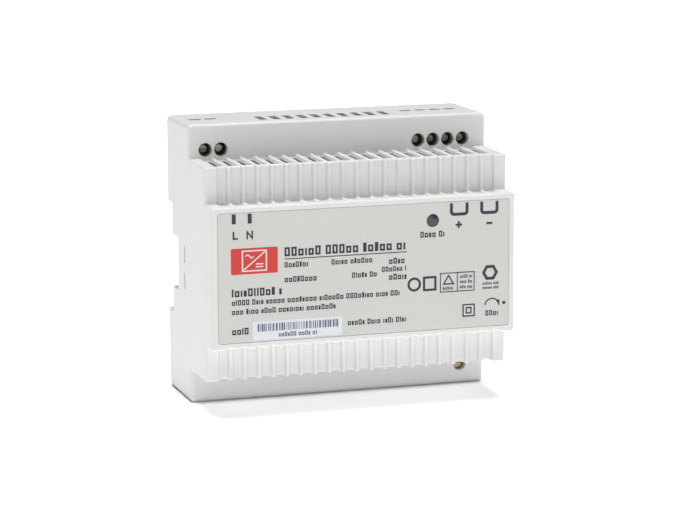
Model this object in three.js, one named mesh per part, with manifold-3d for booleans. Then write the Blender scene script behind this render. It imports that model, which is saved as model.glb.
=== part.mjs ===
// A 100 mm wide power supply for a 35 mm top-hat rail, in its own frame:
// X to the right, -Y out of the front panel, +Z up, origin at the middle of the underside.
// Everything is in millimetres.
import * as THREE from 'three';
import { mergeVertices } from 'three/addons/utils/BufferGeometryUtils.js';
import Module from 'manifold-3d';

const wasm = await Module();
wasm.setup();

// ---------------------------------------------------------------- driving dimensions

const WIDTH = 100;
const HEIGHT = 90;
const DEPTH = 56;
const WALL = 2;
const GAP = 0.3;

const HALF = WIDTH / 2;
const REAR = DEPTH / 2;
const FRONT = -DEPTH / 2;
const SHOULDER = REAR - 28.5;       // front plane of the full-height rear block
const CHEST = REAR - 48;            // front plane of the fluted middle block
const CHEST_LOW = 11;
const CHEST_HIGH = HEIGHT - 11;
const NOSE_LOW = 22.5;
const NOSE_HIGH = HEIGHT - 22.5;
const CORNER = 2;                   // rounding of the rear edges of the profile

// the 35 mm rail and the channel that takes it
const RAIL_CENTRE = 44;
const RAIL_HEIGHT = 35;
const CHANNEL_LOW = RAIL_CENTRE - RAIL_HEIGHT / 2 - GAP;
const CHANNEL_HIGH = RAIL_CENTRE + RAIL_HEIGHT / 2 + GAP;
const SEAT = REAR - 6.5;            // the face that rests on the rail's lips
const RECESS = REAR - 13.5;         // deeper middle of the channel
const RECESS_LOW = 34.5;
const RECESS_HIGH = 51.6;
const LIP_BACK = SEAT + 1.5;        // front of the hooks that reach behind the rail's lips

// flutes of the middle block and the vents between them
const FLUTES = 20;
const FLUTE_WIDTH = 3.05;
const FLUTE_PITCH = 4.65;
const FLUTE_DEPTH = 1.2;
const VENTS = 10;
const VENT_WIDTH = 2.4;
const VENT_PITCH = 4.6;
const VENT_CENTRE = -2.7;
const VENT_FRONT = SHOULDER + 5.2;
const VENT_BACK = SHOULDER + 14.2;

// terminals: two poles for the input and four for the output, on one row
const POLE_PITCH = 5.08;
const INPUT_POLES = [-44.3, -44.3 + POLE_PITCH];
const OUTPUT_POLES = [0, 1, 2, 3].map((k) => 26.96 + k * POLE_PITCH);
const POLE_Z = 81.8;
const SCREW_HOLE = 2.2;
const WIRE_Y = SHOULDER + 13;
const WIRE_WIDTH = 3.9;
const WIRE_DEPTH = 3.4;
const BLOCK_FRONT = SHOULDER + WALL + 0.5;
const BLOCK_BACK = 17.6;
const BLOCK_LOW = 73;
const BLOCK_HIGH = HEIGHT - WALL - 0.5;

// front panel
const LABEL_HALF = 47.9;
const LABEL_LOW = 24.9;
const LABEL_HIGH = 65.6;
const LABEL_SINK = 0.7;
const LABEL_THICK = 0.35;
const PIPE_X = 22.3;
const PIPE_Z = 60;
const PIPE_RADIUS = 1.95;
const TRIM_X = 41.7;
const TRIM_Z = 6.5;

// main board, parallel to the rail
const BOARD_FRONT = 9.2;
const BOARD_THICK = 1.6;
const BOARD_HALF = 45.4;
const BOARD_LOW = 3;
const BOARD_HIGH = 70;
const STAND = BOARD_FRONT - GAP;    // where parts on the board start

// rail latch
const LATCH_HALF = 16;
const LATCH_BODY = 13.8;
const LATCH_FRONT = LIP_BACK + 0.1;
const LATCH_BACK = REAR - 0.7;
const LATCH_FLANGE = LATCH_FRONT + 2.1;
const LATCH_BOTTOM = 0.6;
const LATCH_TOP = 28.9;
const WINDOW_LOW = 9;
const WINDOW_HIGH = 21;
const BOSS_LOW = WINDOW_LOW + GAP;
const BOSS_HIGH = 11.5;

// ---------------------------------------------------------------- solids

function solid(geometry) {
  const bare = geometry.clone();
  bare.deleteAttribute('normal');
  bare.deleteAttribute('uv');
  const merged = mergeVertices(bare, 1e-4);
  const index = merged.index
    ? merged.index.array
    : [...Array(merged.attributes.position.count).keys()];
  return new wasm.Manifold(new wasm.Mesh({
    numProp: 3,
    vertProperties: new Float32Array(merged.attributes.position.array),
    triVerts: new Uint32Array(index),
  }));
}

function geometryOf(manifold) {
  const mesh = manifold.getMesh();
  const geometry = new THREE.BufferGeometry();
  geometry.setAttribute('position', new THREE.BufferAttribute(mesh.vertProperties, 3));
  geometry.setIndex(new THREE.BufferAttribute(mesh.triVerts, 1));
  return geometry;
}

// a box between two corners
function box(x0, x1, y0, y1, z0, z1) {
  const geometry = new THREE.BoxGeometry(x1 - x0, y1 - y0, z1 - z0);
  geometry.translate((x0 + x1) / 2, (y0 + y1) / 2, (z0 + z1) / 2);
  return solid(geometry);
}

// a cylinder along an axis letter, from one place on that axis to another
function rod(axis, radius, from, to, a, b, sides = 16) {
  const geometry = new THREE.CylinderGeometry(radius, radius, to - from, sides);
  const middle = (from + to) / 2;
  if (axis === 'x') {
    geometry.rotateZ(-Math.PI / 2);
    geometry.translate(middle, a, b);
  } else if (axis === 'y') {
    geometry.translate(a, middle, b);
  } else {
    geometry.rotateX(Math.PI / 2);
    geometry.translate(a, b, middle);
  }
  return solid(geometry);
}

function extruded(shape, length, basis, origin) {
  const geometry = new THREE.ExtrudeGeometry(shape, {
    depth: length, bevelEnabled: false, curveSegments: 3,
  });
  const place = new THREE.Matrix4().makeBasis(...basis);
  place.setPosition(...origin);
  geometry.applyMatrix4(place);
  return solid(geometry);
}

const AXIS_X = new THREE.Vector3(1, 0, 0);
const AXIS_Y = new THREE.Vector3(0, 1, 0);
const AXIS_Z = new THREE.Vector3(0, 0, 1);

// an outline in Y and Z, carried along X
function alongX(outline, x0, x1) {
  const shape = outline instanceof THREE.Shape
    ? outline
    : new THREE.Shape(outline.map(([y, z]) => new THREE.Vector2(y, z)));
  return extruded(shape, x1 - x0, [AXIS_Y, AXIS_Z, AXIS_X], [x0, 0, 0]);
}

// an outline in X and Z, carried along Y
function alongY(shape, y0, y1) {
  const back = AXIS_Y.clone().negate();
  return extruded(shape, y1 - y0, [AXIS_X, AXIS_Z, back], [0, y1, 0]);
}

// an outline in X and Y, carried along Z
function alongZ(outline, z0, z1) {
  const shape = new THREE.Shape(outline.map(([x, y]) => new THREE.Vector2(x, y)));
  return extruded(shape, z1 - z0, [AXIS_X, AXIS_Y, AXIS_Z], [0, 0, z0]);
}

function joined(parts) {
  return parts.reduce((whole, part) => whole.add(part));
}

function cut(whole, parts) {
  return parts.reduce((rest, part) => rest.subtract(part), whole);
}

function roundedRectangle(x0, x1, z0, z1, radius) {
  const shape = new THREE.Shape();
  shape.moveTo(x0 + radius, z0);
  shape.lineTo(x1 - radius, z0);
  shape.absarc(x1 - radius, z0 + radius, radius, -Math.PI / 2, 0);
  shape.lineTo(x1, z1 - radius);
  shape.absarc(x1 - radius, z1 - radius, radius, 0, Math.PI / 2);
  shape.lineTo(x0 + radius, z1);
  shape.absarc(x0 + radius, z1 - radius, radius, Math.PI / 2, Math.PI);
  shape.lineTo(x0, z0 + radius);
  shape.absarc(x0 + radius, z0 + radius, radius, Math.PI, 1.5 * Math.PI);
  return shape;
}

// a helix or arc swept by a shape
function swept(shape, path, steps) {
  return solid(new THREE.ExtrudeGeometry(shape, { extrudePath: path, steps }));
}

function circle(radius, sides, hole = 0) {
  const shape = new THREE.Shape();
  const ring = (r) => [...Array(sides).keys()].map((k) => {
    const angle = (2 * Math.PI * k) / sides;
    return new THREE.Vector2(r * Math.cos(angle), r * Math.sin(angle));
  });
  shape.setFromPoints(ring(radius));
  if (hole > 0) shape.holes.push(new THREE.Path(ring(hole)));
  return shape;
}

class Helix extends THREE.Curve {
  constructor(x, y, z0, z1, radius, turns) {
    super();
    Object.assign(this, { x, y, z0, z1, radius, turns });
  }

  getPoint(t, target = new THREE.Vector3()) {
    const angle = 2 * Math.PI * this.turns * t;
    return target.set(
      this.x + this.radius * Math.cos(angle),
      this.y + this.radius * Math.sin(angle),
      this.z0 + (this.z1 - this.z0) * t,
    );
  }
}

// an arc about a centre, in the plane of two directions
class Arc extends THREE.Curve {
  constructor(centre, u, v, radius, start, end) {
    super();
    Object.assign(this, { centre, u, v, radius, start, end });
  }

  getPoint(t, target = new THREE.Vector3()) {
    const angle = this.start + (this.end - this.start) * t;
    return target.copy(this.centre)
      .addScaledVector(this.u, this.radius * Math.cos(angle))
      .addScaledVector(this.v, this.radius * Math.sin(angle));
  }
}

// ---------------------------------------------------------------- the assembly

const supply = new THREE.Group();

function add(name, manifold, material) {
  const mesh = new THREE.Mesh(geometryOf(manifold), material);
  mesh.name = name;
  supply.add(mesh);
}

function finish(color, roughness, metalness = 0) {
  return new THREE.MeshStandardMaterial({ color, roughness, metalness });
}

const CASE = finish(0xe9eaea, 0.5);
const LABEL = finish(0xcfd0cb, 0.45);
const LATCH = finish(0xd9dadb, 0.5);
const SMOKED = finish(0x4a4f58, 0.2);
const LED = finish(0x9fd6a0, 0.3);
const BLOCK = finish(0x1f4a37, 0.5);
const STEEL = finish(0xb9bcc0, 0.35, 1);
const BRASS = finish(0xc9a75a, 0.35, 1);
const ALUMINIUM = finish(0xb7babd, 0.4, 1);
const BOARD = finish(0xa98a4d, 0.6);
const IVORY = finish(0xd9c79a, 0.45);
const BLACK = finish(0x1b1c1e, 0.5);
const FERRITE = finish(0x3a3b3f, 0.6);
const COPPER = finish(0xa65a2e, 0.4, 1);
const FILM = finish(0xd8b13a, 0.4);
const CERAMIC = finish(0x2f6fae, 0.4);
const GLASS = finish(0xdfe6e6, 0.1);
const TAPE = finish(0xd9b84a, 0.5);

// ---------------------------------------------------------------- housing

function housingOutline() {
  const shape = new THREE.Shape();
  const fillet = (y, z, start) => shape.absarc(y, z, CORNER, start, start + Math.PI / 2);
  shape.moveTo(SHOULDER + CORNER, 0);
  shape.lineTo(REAR - CORNER, 0);
  fillet(REAR - CORNER, CORNER, -Math.PI / 2);
  shape.lineTo(REAR, HEIGHT - CORNER);
  fillet(REAR - CORNER, HEIGHT - CORNER, 0);
  shape.lineTo(SHOULDER, HEIGHT);
  shape.lineTo(SHOULDER, CHEST_HIGH);
  shape.lineTo(CHEST, CHEST_HIGH);
  shape.lineTo(CHEST, NOSE_HIGH);
  shape.lineTo(FRONT, NOSE_HIGH);
  shape.lineTo(FRONT, NOSE_LOW);
  shape.lineTo(CHEST, NOSE_LOW);
  shape.lineTo(CHEST, CHEST_LOW);
  shape.lineTo(SHOULDER, CHEST_LOW);
  shape.lineTo(SHOULDER, CORNER);
  shape.absarc(SHOULDER + CORNER, CORNER, CORNER, Math.PI, 1.5 * Math.PI);
  return shape;
}

// the room inside, open at the back
function housingRoom() {
  const outline = [
    [REAR + 1, WALL],
    [REAR + 1, HEIGHT - WALL],
    [SHOULDER + WALL, HEIGHT - WALL],
    [SHOULDER + WALL, CHEST_HIGH - WALL],
    [CHEST + WALL, CHEST_HIGH - WALL],
    [CHEST + WALL, NOSE_HIGH - WALL],
    [FRONT + WALL, NOSE_HIGH - WALL],
    [FRONT + WALL, NOSE_LOW + WALL],
    [CHEST + WALL, NOSE_LOW + WALL],
    [CHEST + WALL, CHEST_LOW + WALL],
    [SHOULDER + WALL, CHEST_LOW + WALL],
    [SHOULDER + WALL, WALL],
  ];
  return alongX(outline.reverse(), -HALF + WALL, HALF - WALL);
}

function fluteCentres() {
  return [...Array(FLUTES).keys()].map((k) => (k - (FLUTES - 1) / 2) * FLUTE_PITCH);
}

// one vertical groove, open to the front, with sloping sides
function groove(x, z0, z1) {
  const half = FLUTE_WIDTH / 2;
  const floor = half - 0.7;
  const out = CHEST - 0.5;
  return alongZ([
    [x - half, out],
    [x + half, out],
    [x + half, CHEST],
    [x + floor, CHEST + FLUTE_DEPTH],
    [x - floor, CHEST + FLUTE_DEPTH],
    [x - half, CHEST],
  ], z0, z1);
}

// a flute with the shallow channels that carry it on over the steps, and its vent slot
function flute(x) {
  const a = x - FLUTE_WIDTH / 2;
  const b = x + FLUTE_WIDTH / 2;
  const stepSink = 0.8;
  const noseSink = 0.4;
  return [
    groove(x, NOSE_HIGH, CHEST_HIGH + 0.5),
    groove(x, CHEST_LOW - 0.5, NOSE_LOW),
    box(a, b, CHEST + 2.5, SHOULDER - 1, CHEST_HIGH - stepSink, CHEST_HIGH + 0.5),
    box(a, b, CHEST - 0.5, SHOULDER - 1, CHEST_LOW - 0.5, CHEST_LOW + stepSink),
    box(a, b, FRONT + 1.5, CHEST - 0.01, NOSE_HIGH - noseSink, NOSE_HIGH + 0.5),
    box(a, b, FRONT - 0.5, CHEST - 0.01, NOSE_LOW - 0.5, NOSE_LOW + noseSink),
    box(b - 1.4, b - 0.2, CHEST + 4, SHOULDER - 3, CHEST_HIGH - WALL - 0.5, CHEST_HIGH + 0.5),
    box(b - 1.4, b - 0.2, CHEST + 4, SHOULDER - 3, CHEST_LOW - 0.5, CHEST_LOW + WALL + 0.5),
  ];
}

function ventSlots() {
  const slots = [];
  for (let k = 0; k < VENTS; k += 1) {
    const x = VENT_CENTRE + (k - (VENTS - 1) / 2) * VENT_PITCH;
    const a = x - VENT_WIDTH / 2;
    const b = x + VENT_WIDTH / 2;
    slots.push(box(a, b, VENT_FRONT, VENT_BACK, HEIGHT - WALL - 0.5, HEIGHT + 0.5));
    slots.push(box(a, b, VENT_FRONT, VENT_BACK, -0.5, WALL + 0.5));
  }
  return slots;
}

function terminalOpenings() {
  const holes = [];
  const a = WIRE_Y - WIRE_DEPTH / 2;
  const b = WIRE_Y + WIRE_DEPTH / 2;
  for (const x of [...INPUT_POLES, ...OUTPUT_POLES]) {
    const w = WIRE_WIDTH / 2;
    holes.push(rod('y', SCREW_HOLE, SHOULDER - 0.5, SHOULDER + WALL + 0.5, x, POLE_Z, 16));
    holes.push(box(x - w, x + w, a, b, HEIGHT - WALL - 0.5, HEIGHT + 0.5));
  }
  return holes;
}

// the notch in both side walls where the rail runs through
function railNotch() {
  return alongX([
    [REAR + 1, CHANNEL_LOW],
    [REAR + 1, CHANNEL_HIGH],
    [SEAT, CHANNEL_HIGH],
    [SEAT, RECESS_HIGH],
    [RECESS, RECESS_HIGH],
    [RECESS, RECESS_LOW],
    [SEAT, RECESS_LOW],
    [SEAT, CHANNEL_LOW],
  ].reverse(), -HALF - 1, HALF + 1);
}

const SNAP_Y = REAR - 22;
const SNAP_HEIGHTS = [38.9, 47.5];

function snapWindows() {
  return SNAP_HEIGHTS.map((z) => box(-HALF - 1, HALF + 1, SNAP_Y - 0.7, SNAP_Y + 0.7,
    z - 2.6, z + 2.6));
}

function makeHousing() {
  const label = roundedRectangle(-LABEL_HALF - 0.2, LABEL_HALF + 0.2, LABEL_LOW - 0.2,
    LABEL_HIGH + 0.2, 1);
  const latchWay = box(-LATCH_HALF - GAP, LATCH_HALF + GAP, 17, REAR + 1, -1, WALL + 0.5);
  const body = cut(alongX(housingOutline(), -HALF, HALF), [housingRoom()]);
  return cut(body, [
    ...fluteCentres().flatMap(flute),
    ...ventSlots(),
    ...terminalOpenings(),
    ...snapWindows(),
    railNotch(),
    latchWay,
    alongY(label, FRONT - 1, FRONT + LABEL_SINK),
    rod('y', PIPE_RADIUS + 0.15, FRONT - 1, FRONT + WALL + 1, PIPE_X, PIPE_Z, 20),
    rod('y', 2.1, SHOULDER - 1, SHOULDER + WALL + 1, TRIM_X, TRIM_Z, 20),
  ]);
}

// ---------------------------------------------------------------- rear base and rail channel

const PLATE_X = HALF - WALL - GAP;
const PLATE_BACK = REAR - 0.3;

function basePlate() {
  const inner = PLATE_BACK - WALL;
  return alongX([
    [PLATE_BACK, WALL + GAP],
    [PLATE_BACK, CHANNEL_LOW],
    [SEAT, CHANNEL_LOW],
    [SEAT, RECESS_LOW],
    [RECESS, RECESS_LOW],
    [RECESS, RECESS_HIGH],
    [SEAT, RECESS_HIGH],
    [SEAT, CHANNEL_HIGH],
    [PLATE_BACK, CHANNEL_HIGH],
    [PLATE_BACK, HEIGHT - WALL - GAP],
    [inner, HEIGHT - WALL - GAP],
    [inner, CHANNEL_HIGH + WALL],
    [SEAT - WALL, CHANNEL_HIGH + WALL],
    [SEAT - WALL, RECESS_HIGH + WALL],
    [RECESS - WALL, RECESS_HIGH + WALL],
    [RECESS - WALL, RECESS_LOW - WALL],
    [SEAT - WALL, RECESS_LOW - WALL],
    [SEAT - WALL, CHANNEL_LOW - WALL],
    [inner, CHANNEL_LOW - WALL],
    [inner, WALL + GAP],
  ], -PLATE_X, PLATE_X);
}

const HOOK_X = 26;
const HOOK_HALF = 13;
const HOOK_REACH = 2.6;

// fixed hooks that hang behind the rail's upper lip
function upperHooks() {
  return [-1, 1].map((side) => box(side * HOOK_X - HOOK_HALF, side * HOOK_X + HOOK_HALF,
    LIP_BACK, PLATE_BACK, CHANNEL_HIGH - HOOK_REACH, CHANNEL_HIGH + 0.5));
}

// shallow reliefs in the seat, facing the hooks, so that the rail's lip can tip in
function hookReliefs() {
  const half = HOOK_HALF + 0.5;
  return [-1, 1].map((side) => box(side * HOOK_X - half, side * HOOK_X + half,
    SEAT - 0.3, SEAT + 0.3, RECESS_HIGH - 0.1, CHANNEL_HIGH));
}

// a T-shaped way for the latch, let into the lower plate
function latchWay() {
  const floor = LATCH_FRONT - GAP;
  const low = WALL + GAP;
  const wide = LATCH_HALF + GAP;
  const narrow = LATCH_BODY + GAP;
  return {
    pocket: box(-wide - WALL, wide + WALL, floor - WALL, PLATE_BACK, low, CHANNEL_LOW),
    room: joined([
      box(-wide, wide, floor, LATCH_FLANGE + GAP, low - 1, CHANNEL_LOW + 1),
      box(-narrow, narrow, floor, REAR + 1, low - 1, CHANNEL_LOW + 1),
    ]),
    boss: box(-2.6, 2.6, floor - 0.5, LATCH_BACK - 0.6, BOSS_LOW, BOSS_HIGH),
  };
}

// arms that reach forward along the side walls and snap into the windows
function snapArms() {
  const arms = [];
  for (const side of [-1, 1]) {
    for (const z of SNAP_HEIGHTS) {
      const inner = side * (PLATE_X - 1.3);
      const outer = side * PLATE_X;
      const tip = side * (HALF - 0.4);
      const [a, b] = [Math.min(inner, outer), Math.max(inner, outer)];
      const [c, d] = [Math.min(inner, tip), Math.max(inner, tip)];
      arms.push(box(a, b, SNAP_Y - 1.2, RECESS - 1, z - 2.2, z + 2.2));
      arms.push(box(c, d, SNAP_Y - 0.4, SNAP_Y + 0.4, z - 2.3, z + 2.3));
    }
  }
  return arms;
}

const POST_PLACES = [[-30.5, 67.2], [18.3, 67.2], [-30, 7.5], [30, 7.5]];

// posts that carry the board
function boardPosts() {
  return POST_PLACES.map(([x, z]) => {
    const foot = PLATE_BACK - WALL + 0.5;
    return rod('y', 3, BOARD_FRONT + BOARD_THICK + GAP, foot, x, z, 12);
  });
}

function makeBase() {
  const way = latchWay();
  const plate = joined([basePlate(), way.pocket]).subtract(way.room);
  const whole = joined([plate, way.boss, ...upperHooks(), ...snapArms(), ...boardPosts()]);
  const bores = POST_PLACES.map(([x, z]) => rod('y', 1.35, BOARD_FRONT, BOARD_FRONT + 9, x, z, 12));
  return cut(whole, [...bores, ...hookReliefs()]);
}

// ---------------------------------------------------------------- latch and its spring

function makeLatch() {
  const nose = alongX([
    [LATCH_FRONT, CHANNEL_LOW - 2],
    [LATCH_BACK, CHANNEL_LOW - 2],
    [LATCH_BACK, CHANNEL_LOW],
    [LATCH_FRONT + 1.4, LATCH_TOP],
    [LATCH_FRONT, LATCH_TOP],
  ], -LATCH_BODY, LATCH_BODY);
  const body = box(-LATCH_BODY, LATCH_BODY, LATCH_FRONT, LATCH_BACK, LATCH_BOTTOM,
    CHANNEL_LOW - 1);
  const flange = box(-LATCH_HALF, LATCH_HALF, LATCH_FRONT, LATCH_FLANGE, 8, CHANNEL_LOW - 1);
  return cut(joined([body, flange, nose]), [
    box(-3.4, 3.4, LATCH_FRONT - 1, LATCH_BACK + 1, WINDOW_LOW, WINDOW_HIGH),
    box(-4, 4, LATCH_FRONT - 1, LATCH_BACK + 1, 2.6, 5.6),
  ]);
}

const SPRING_WIRE = 0.28;
const SPRING_RADIUS = 1.55;

function makeSpring() {
  const y = (LATCH_FRONT + LATCH_BACK) / 2;
  const low = BOSS_HIGH + GAP + SPRING_WIRE;
  const high = WINDOW_HIGH - GAP - SPRING_WIRE;
  return swept(circle(SPRING_WIRE, 6), new Helix(0, y, low, high, SPRING_RADIUS, 6), 60);
}

// ---------------------------------------------------------------- front panel pieces

function makeLabel() {
  const front = FRONT + 0.05;
  const sheet = alongY(roundedRectangle(-LABEL_HALF, LABEL_HALF, LABEL_LOW, LABEL_HIGH, 0.8),
    front, front + LABEL_THICK);
  return sheet.subtract(rod('y', PIPE_RADIUS + 0.15, FRONT - 1, FRONT + 1, PIPE_X, PIPE_Z, 20));
}

function makeLightPipe() {
  return rod('y', PIPE_RADIUS, FRONT + 0.05, STAND - 4.4, PIPE_X, PIPE_Z, 20);
}

function makeLed() {
  return joined([
    rod('y', 1.9, STAND - 1.5, STAND, PIPE_X, PIPE_Z, 12),
    rod('y', 1.45, STAND - 4, STAND - 1, PIPE_X, PIPE_Z, 12),
  ]);
}

// ---------------------------------------------------------------- terminals

// one moulded block for a row of poles
function makeBlock(poles) {
  const a = poles[0] - POLE_PITCH / 2 - 0.3;
  const b = poles[poles.length - 1] + POLE_PITCH / 2 + 0.3;
  const body = box(a, b, BLOCK_FRONT, BLOCK_BACK, BLOCK_LOW, BLOCK_HIGH);
  return cut(body, poles.flatMap((x) => [
    rod('y', 2.1, BLOCK_FRONT - 1, 9, x, POLE_Z, 12),
    box(x - 2.1, x + 2.1, 4, 16.4, 77.6, 86),
    box(x - WIRE_WIDTH / 2, x + WIRE_WIDTH / 2, WIRE_Y - WIRE_DEPTH / 2, WIRE_Y + WIRE_DEPTH / 2,
      84, BLOCK_HIGH + 1),
    box(x - 1.5, x + 1.5, 9.6, 11.2, BLOCK_LOW - 1, 78),
  ]));
}

const HEAD_FRONT = BLOCK_FRONT + 0.4;

function makeTerminalScrew(x) {
  const head = rod('y', 1.9, HEAD_FRONT, HEAD_FRONT + 1.5, x, POLE_Z, 16);
  const shank = rod('y', 1.2, HEAD_FRONT + 1, 9.6, x, POLE_Z, 12);
  const slot = box(x - 2.5, x + 2.5, HEAD_FRONT - 1, HEAD_FRONT + 0.8, POLE_Z - 0.28,
    POLE_Z + 0.28);
  return head.add(shank).subtract(slot);
}

// the square clamp that the screw pulls towards its head
function makeCage(x) {
  const ring = box(x - 1.9, x + 1.9, 7.9, 15.6, 78.6, 85);
  return cut(ring, [
    box(x - 1.4, x + 1.4, 9.3, 14.6, 78, 86),
    rod('y', 1.32, 7, 10, x, POLE_Z, 12),
  ]);
}

function makeContact(x) {
  return box(x - 1.1, x + 1.1, 10, 10.8, 67, 84.9);
}

// ---------------------------------------------------------------- board and what stands on it

function makeBoard() {
  const back = BOARD_FRONT + BOARD_THICK;
  const plate = box(-BOARD_HALF, BOARD_HALF, BOARD_FRONT, back, BOARD_LOW, BOARD_HIGH);
  const poles = [...INPUT_POLES, ...OUTPUT_POLES];
  return cut(plate, [
    ...poles.map((x) => box(x - 1.4, x + 1.4, BOARD_FRONT - 1, back + 1, 66.7, BOARD_HIGH + 1)),
    ...POST_PLACES.map(([x, z]) => rod('y', 1.7, BOARD_FRONT - 1, back + 1, x, z, 12)),
  ]);
}

function makeBoardScrew(x, z) {
  const head = rod('y', 2.6, BOARD_FRONT - 2.2, BOARD_FRONT - GAP, x, z, 12);
  const shank = rod('y', 1.25, BOARD_FRONT - 1, BOARD_FRONT + 8, x, z, 10);
  const slot = box(x - 3, x + 3, BOARD_FRONT - 3, BOARD_FRONT - 1.4, z - 0.35, z + 0.35);
  return head.add(shank).subtract(slot);
}

// a round part standing on the board
function can(radius, tall, x, z, sides = 20) {
  const shoulder = rod('y', radius, STAND - tall, STAND, x, z, sides);
  const vent = box(x - radius / 2, x + radius / 2, STAND - tall - 1, STAND - tall + 0.3,
    z - 0.2, z + 0.2);
  return shoulder.subtract(vent);
}

function makeFuse(x, z) {
  const y = STAND - 3;
  return joined([
    rod('z', 2.3, z - 8, z + 8, x, y, 14),
    rod('z', 2.6, z - 10, z - 5.5, x, y, 14),
    rod('z', 2.6, z + 5.5, z + 10, x, y, 14),
    box(x - 0.6, x + 0.6, y, STAND, z - 8.5, z - 7.5),
    box(x - 0.6, x + 0.6, y, STAND, z + 7.5, z + 8.5),
  ]);
}

// a disc on two legs
function disc(radius, thick, x, z) {
  const y = STAND - radius - 2;
  return joined([
    rod('x', radius, x - thick / 2, x + thick / 2, y, z, 16),
    box(x - 0.3, x + 0.3, y, STAND, z - 2.6, z - 2),
    box(x - 0.3, x + 0.3, y, STAND, z + 2, z + 2.6),
  ]);
}

// a ring core on its edge or lying flat, and a winding on part of it
function ring(centre, u, v, radius, section, sides = 12, steps = 24) {
  const axis = u.clone().cross(v);
  const geometry = new THREE.TorusGeometry(radius, section, sides, steps);
  geometry.applyMatrix4(new THREE.Matrix4().makeBasis(u, v, axis).setPosition(centre));
  return solid(geometry);
}

function winding(centre, u, v, radius, section, start, end) {
  const sleeve = circle(section + 1.3, 12, section + 0.3);
  const steps = Math.ceil((end - start) / 0.28);
  return swept(sleeve, new Arc(centre, u, v, radius, start, end), steps);
}

function makeBridge(x, z) {
  const body = box(x - 1.8, x + 1.8, STAND - 17, STAND - 3, z - 10, z + 10);
  const legs = [-7.5, -2.5, 2.5, 7.5].map((d) => box(x - 0.4, x + 0.4, STAND - 4, STAND,
    z + d - 0.5, z + d + 0.5));
  return joined([body, ...legs]);
}

// a plate of folded aluminium, its foot on the board
function makeHeatsink(x0, x1, z) {
  return joined([
    box(x0, x1, STAND - 28, STAND, z, z + 2),
    box(x0, x1, STAND - 2, STAND, z, z + 6),
  ]).subtract(rod('z', 1.7, z - 1, z + 3, (x0 + x1) / 2, STAND - 21, 12));
}

// a power device with a metal tab, bolted under a heatsink
function makeDevice(x, z) {
  const top = z - GAP;
  const tabEnd = STAND - 24;
  const body = joined([
    box(x - 5, x + 5, tabEnd + 6.5, STAND - 8.5, top - 4.4, top),
    box(x - 5, x + 5, tabEnd, tabEnd + 7, top - 1.3, top),
    ...[-2.5, 0, 2.5].map((d) => box(x + d - 0.4, x + d + 0.4, STAND - 9, STAND,
      top - 2.6, top - 2)),
  ]);
  return body.subtract(rod('z', 1.9, top - 5, top + 1, x, STAND - 21, 12));
}

function makeDeviceScrew(x, z) {
  const y = STAND - 21;
  const head = rod('z', 2.8, z - GAP - 1.6 - 2, z - GAP - 1.6, x, y, 12);
  const shank = rod('z', 1.45, z - GAP - 2.5, z + 4, x, y, 12);
  return head.add(shank);
}

const CORE = { x0: -10, x1: 21, z0: 15.5, z1: 37.5 };
const CORE_BACK = 3.4;
const CORE_FRONT = -9;

function makeTransformerCore() {
  const body = box(CORE.x0, CORE.x1, CORE_FRONT, CORE_BACK, CORE.z0, CORE.z1);
  const a = CORE.x0 + 5;
  const b = CORE.x1 - 5;
  return cut(body, [
    box(a, b, CORE_FRONT - 1, CORE_BACK + 1, CORE.z0 + 3.5, CORE.z0 + 8),
    box(a, b, CORE_FRONT - 1, CORE_BACK + 1, CORE.z1 - 8, CORE.z1 - 3.5),
  ]);
}

function makeTransformerWinding() {
  const a = CORE.x0 + 5 + GAP;
  const b = CORE.x1 - 5 - GAP;
  const outer = box(a, b, CORE_FRONT - 3.6, CORE_BACK + 2.4, CORE.z0 + 3.8, CORE.z1 - 3.8);
  return outer.subtract(box(a - 1, b + 1, CORE_FRONT - GAP, CORE_BACK + GAP,
    CORE.z0 + 7.7, CORE.z1 - 7.7));
}

// the bobbin's pin base, between the winding and the board
function makeTransformerBase() {
  const y = CORE_BACK + 2.4 + GAP;
  return joined([
    box(CORE.x0 + 1, CORE.x1 - 1, y, STAND - 1, CORE.z0 + 1, CORE.z1 - 1),
    box(CORE.x0 + 1, CORE.x1 - 1, y, STAND, CORE.z0 + 1, CORE.z0 + 4),
    box(CORE.x0 + 1, CORE.x1 - 1, y, STAND, CORE.z1 - 4, CORE.z1 - 1),
  ]);
}

function makeChip(x0, x1, z0, z1, tall) {
  const body = box(x0, x1, STAND - tall, STAND - 0.6, z0 + 0.8, z1 - 0.8);
  const legs = [];
  for (let x = x0 + 1; x < x1; x += 2.54) {
    legs.push(box(x - 0.3, x + 0.3, STAND - 2, STAND, z0, z1));
  }
  return joined([body, ...legs]);
}

// ---------------------------------------------------------------- trimmer

function makeTrimmerBody() {
  const body = box(TRIM_X - 3.1, TRIM_X + 3.1, 4.4, STAND, TRIM_Z - 3.1, TRIM_Z + 3.1);
  return body.subtract(rod('y', 2.1, 3, 6.4, TRIM_X, TRIM_Z, 16));
}

function makeTrimmerRotor() {
  const rotor = rod('y', 1.9, 2.4, 6.1, TRIM_X, TRIM_Z, 16);
  return rotor.subtract(box(TRIM_X - 1.5, TRIM_X + 1.5, 2, 3.3, TRIM_Z - 0.3, TRIM_Z + 0.3));
}

// ---------------------------------------------------------------- putting it together

add('front_housing', makeHousing(), CASE);
add('rear_base', makeBase(), CASE);
add('front_label', makeLabel(), LABEL);
add('light_pipe', makeLightPipe(), SMOKED);
add('status_led', makeLed(), LED);
add('rail_latch', makeLatch(), LATCH);
add('latch_spring', makeSpring(), STEEL);

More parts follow.
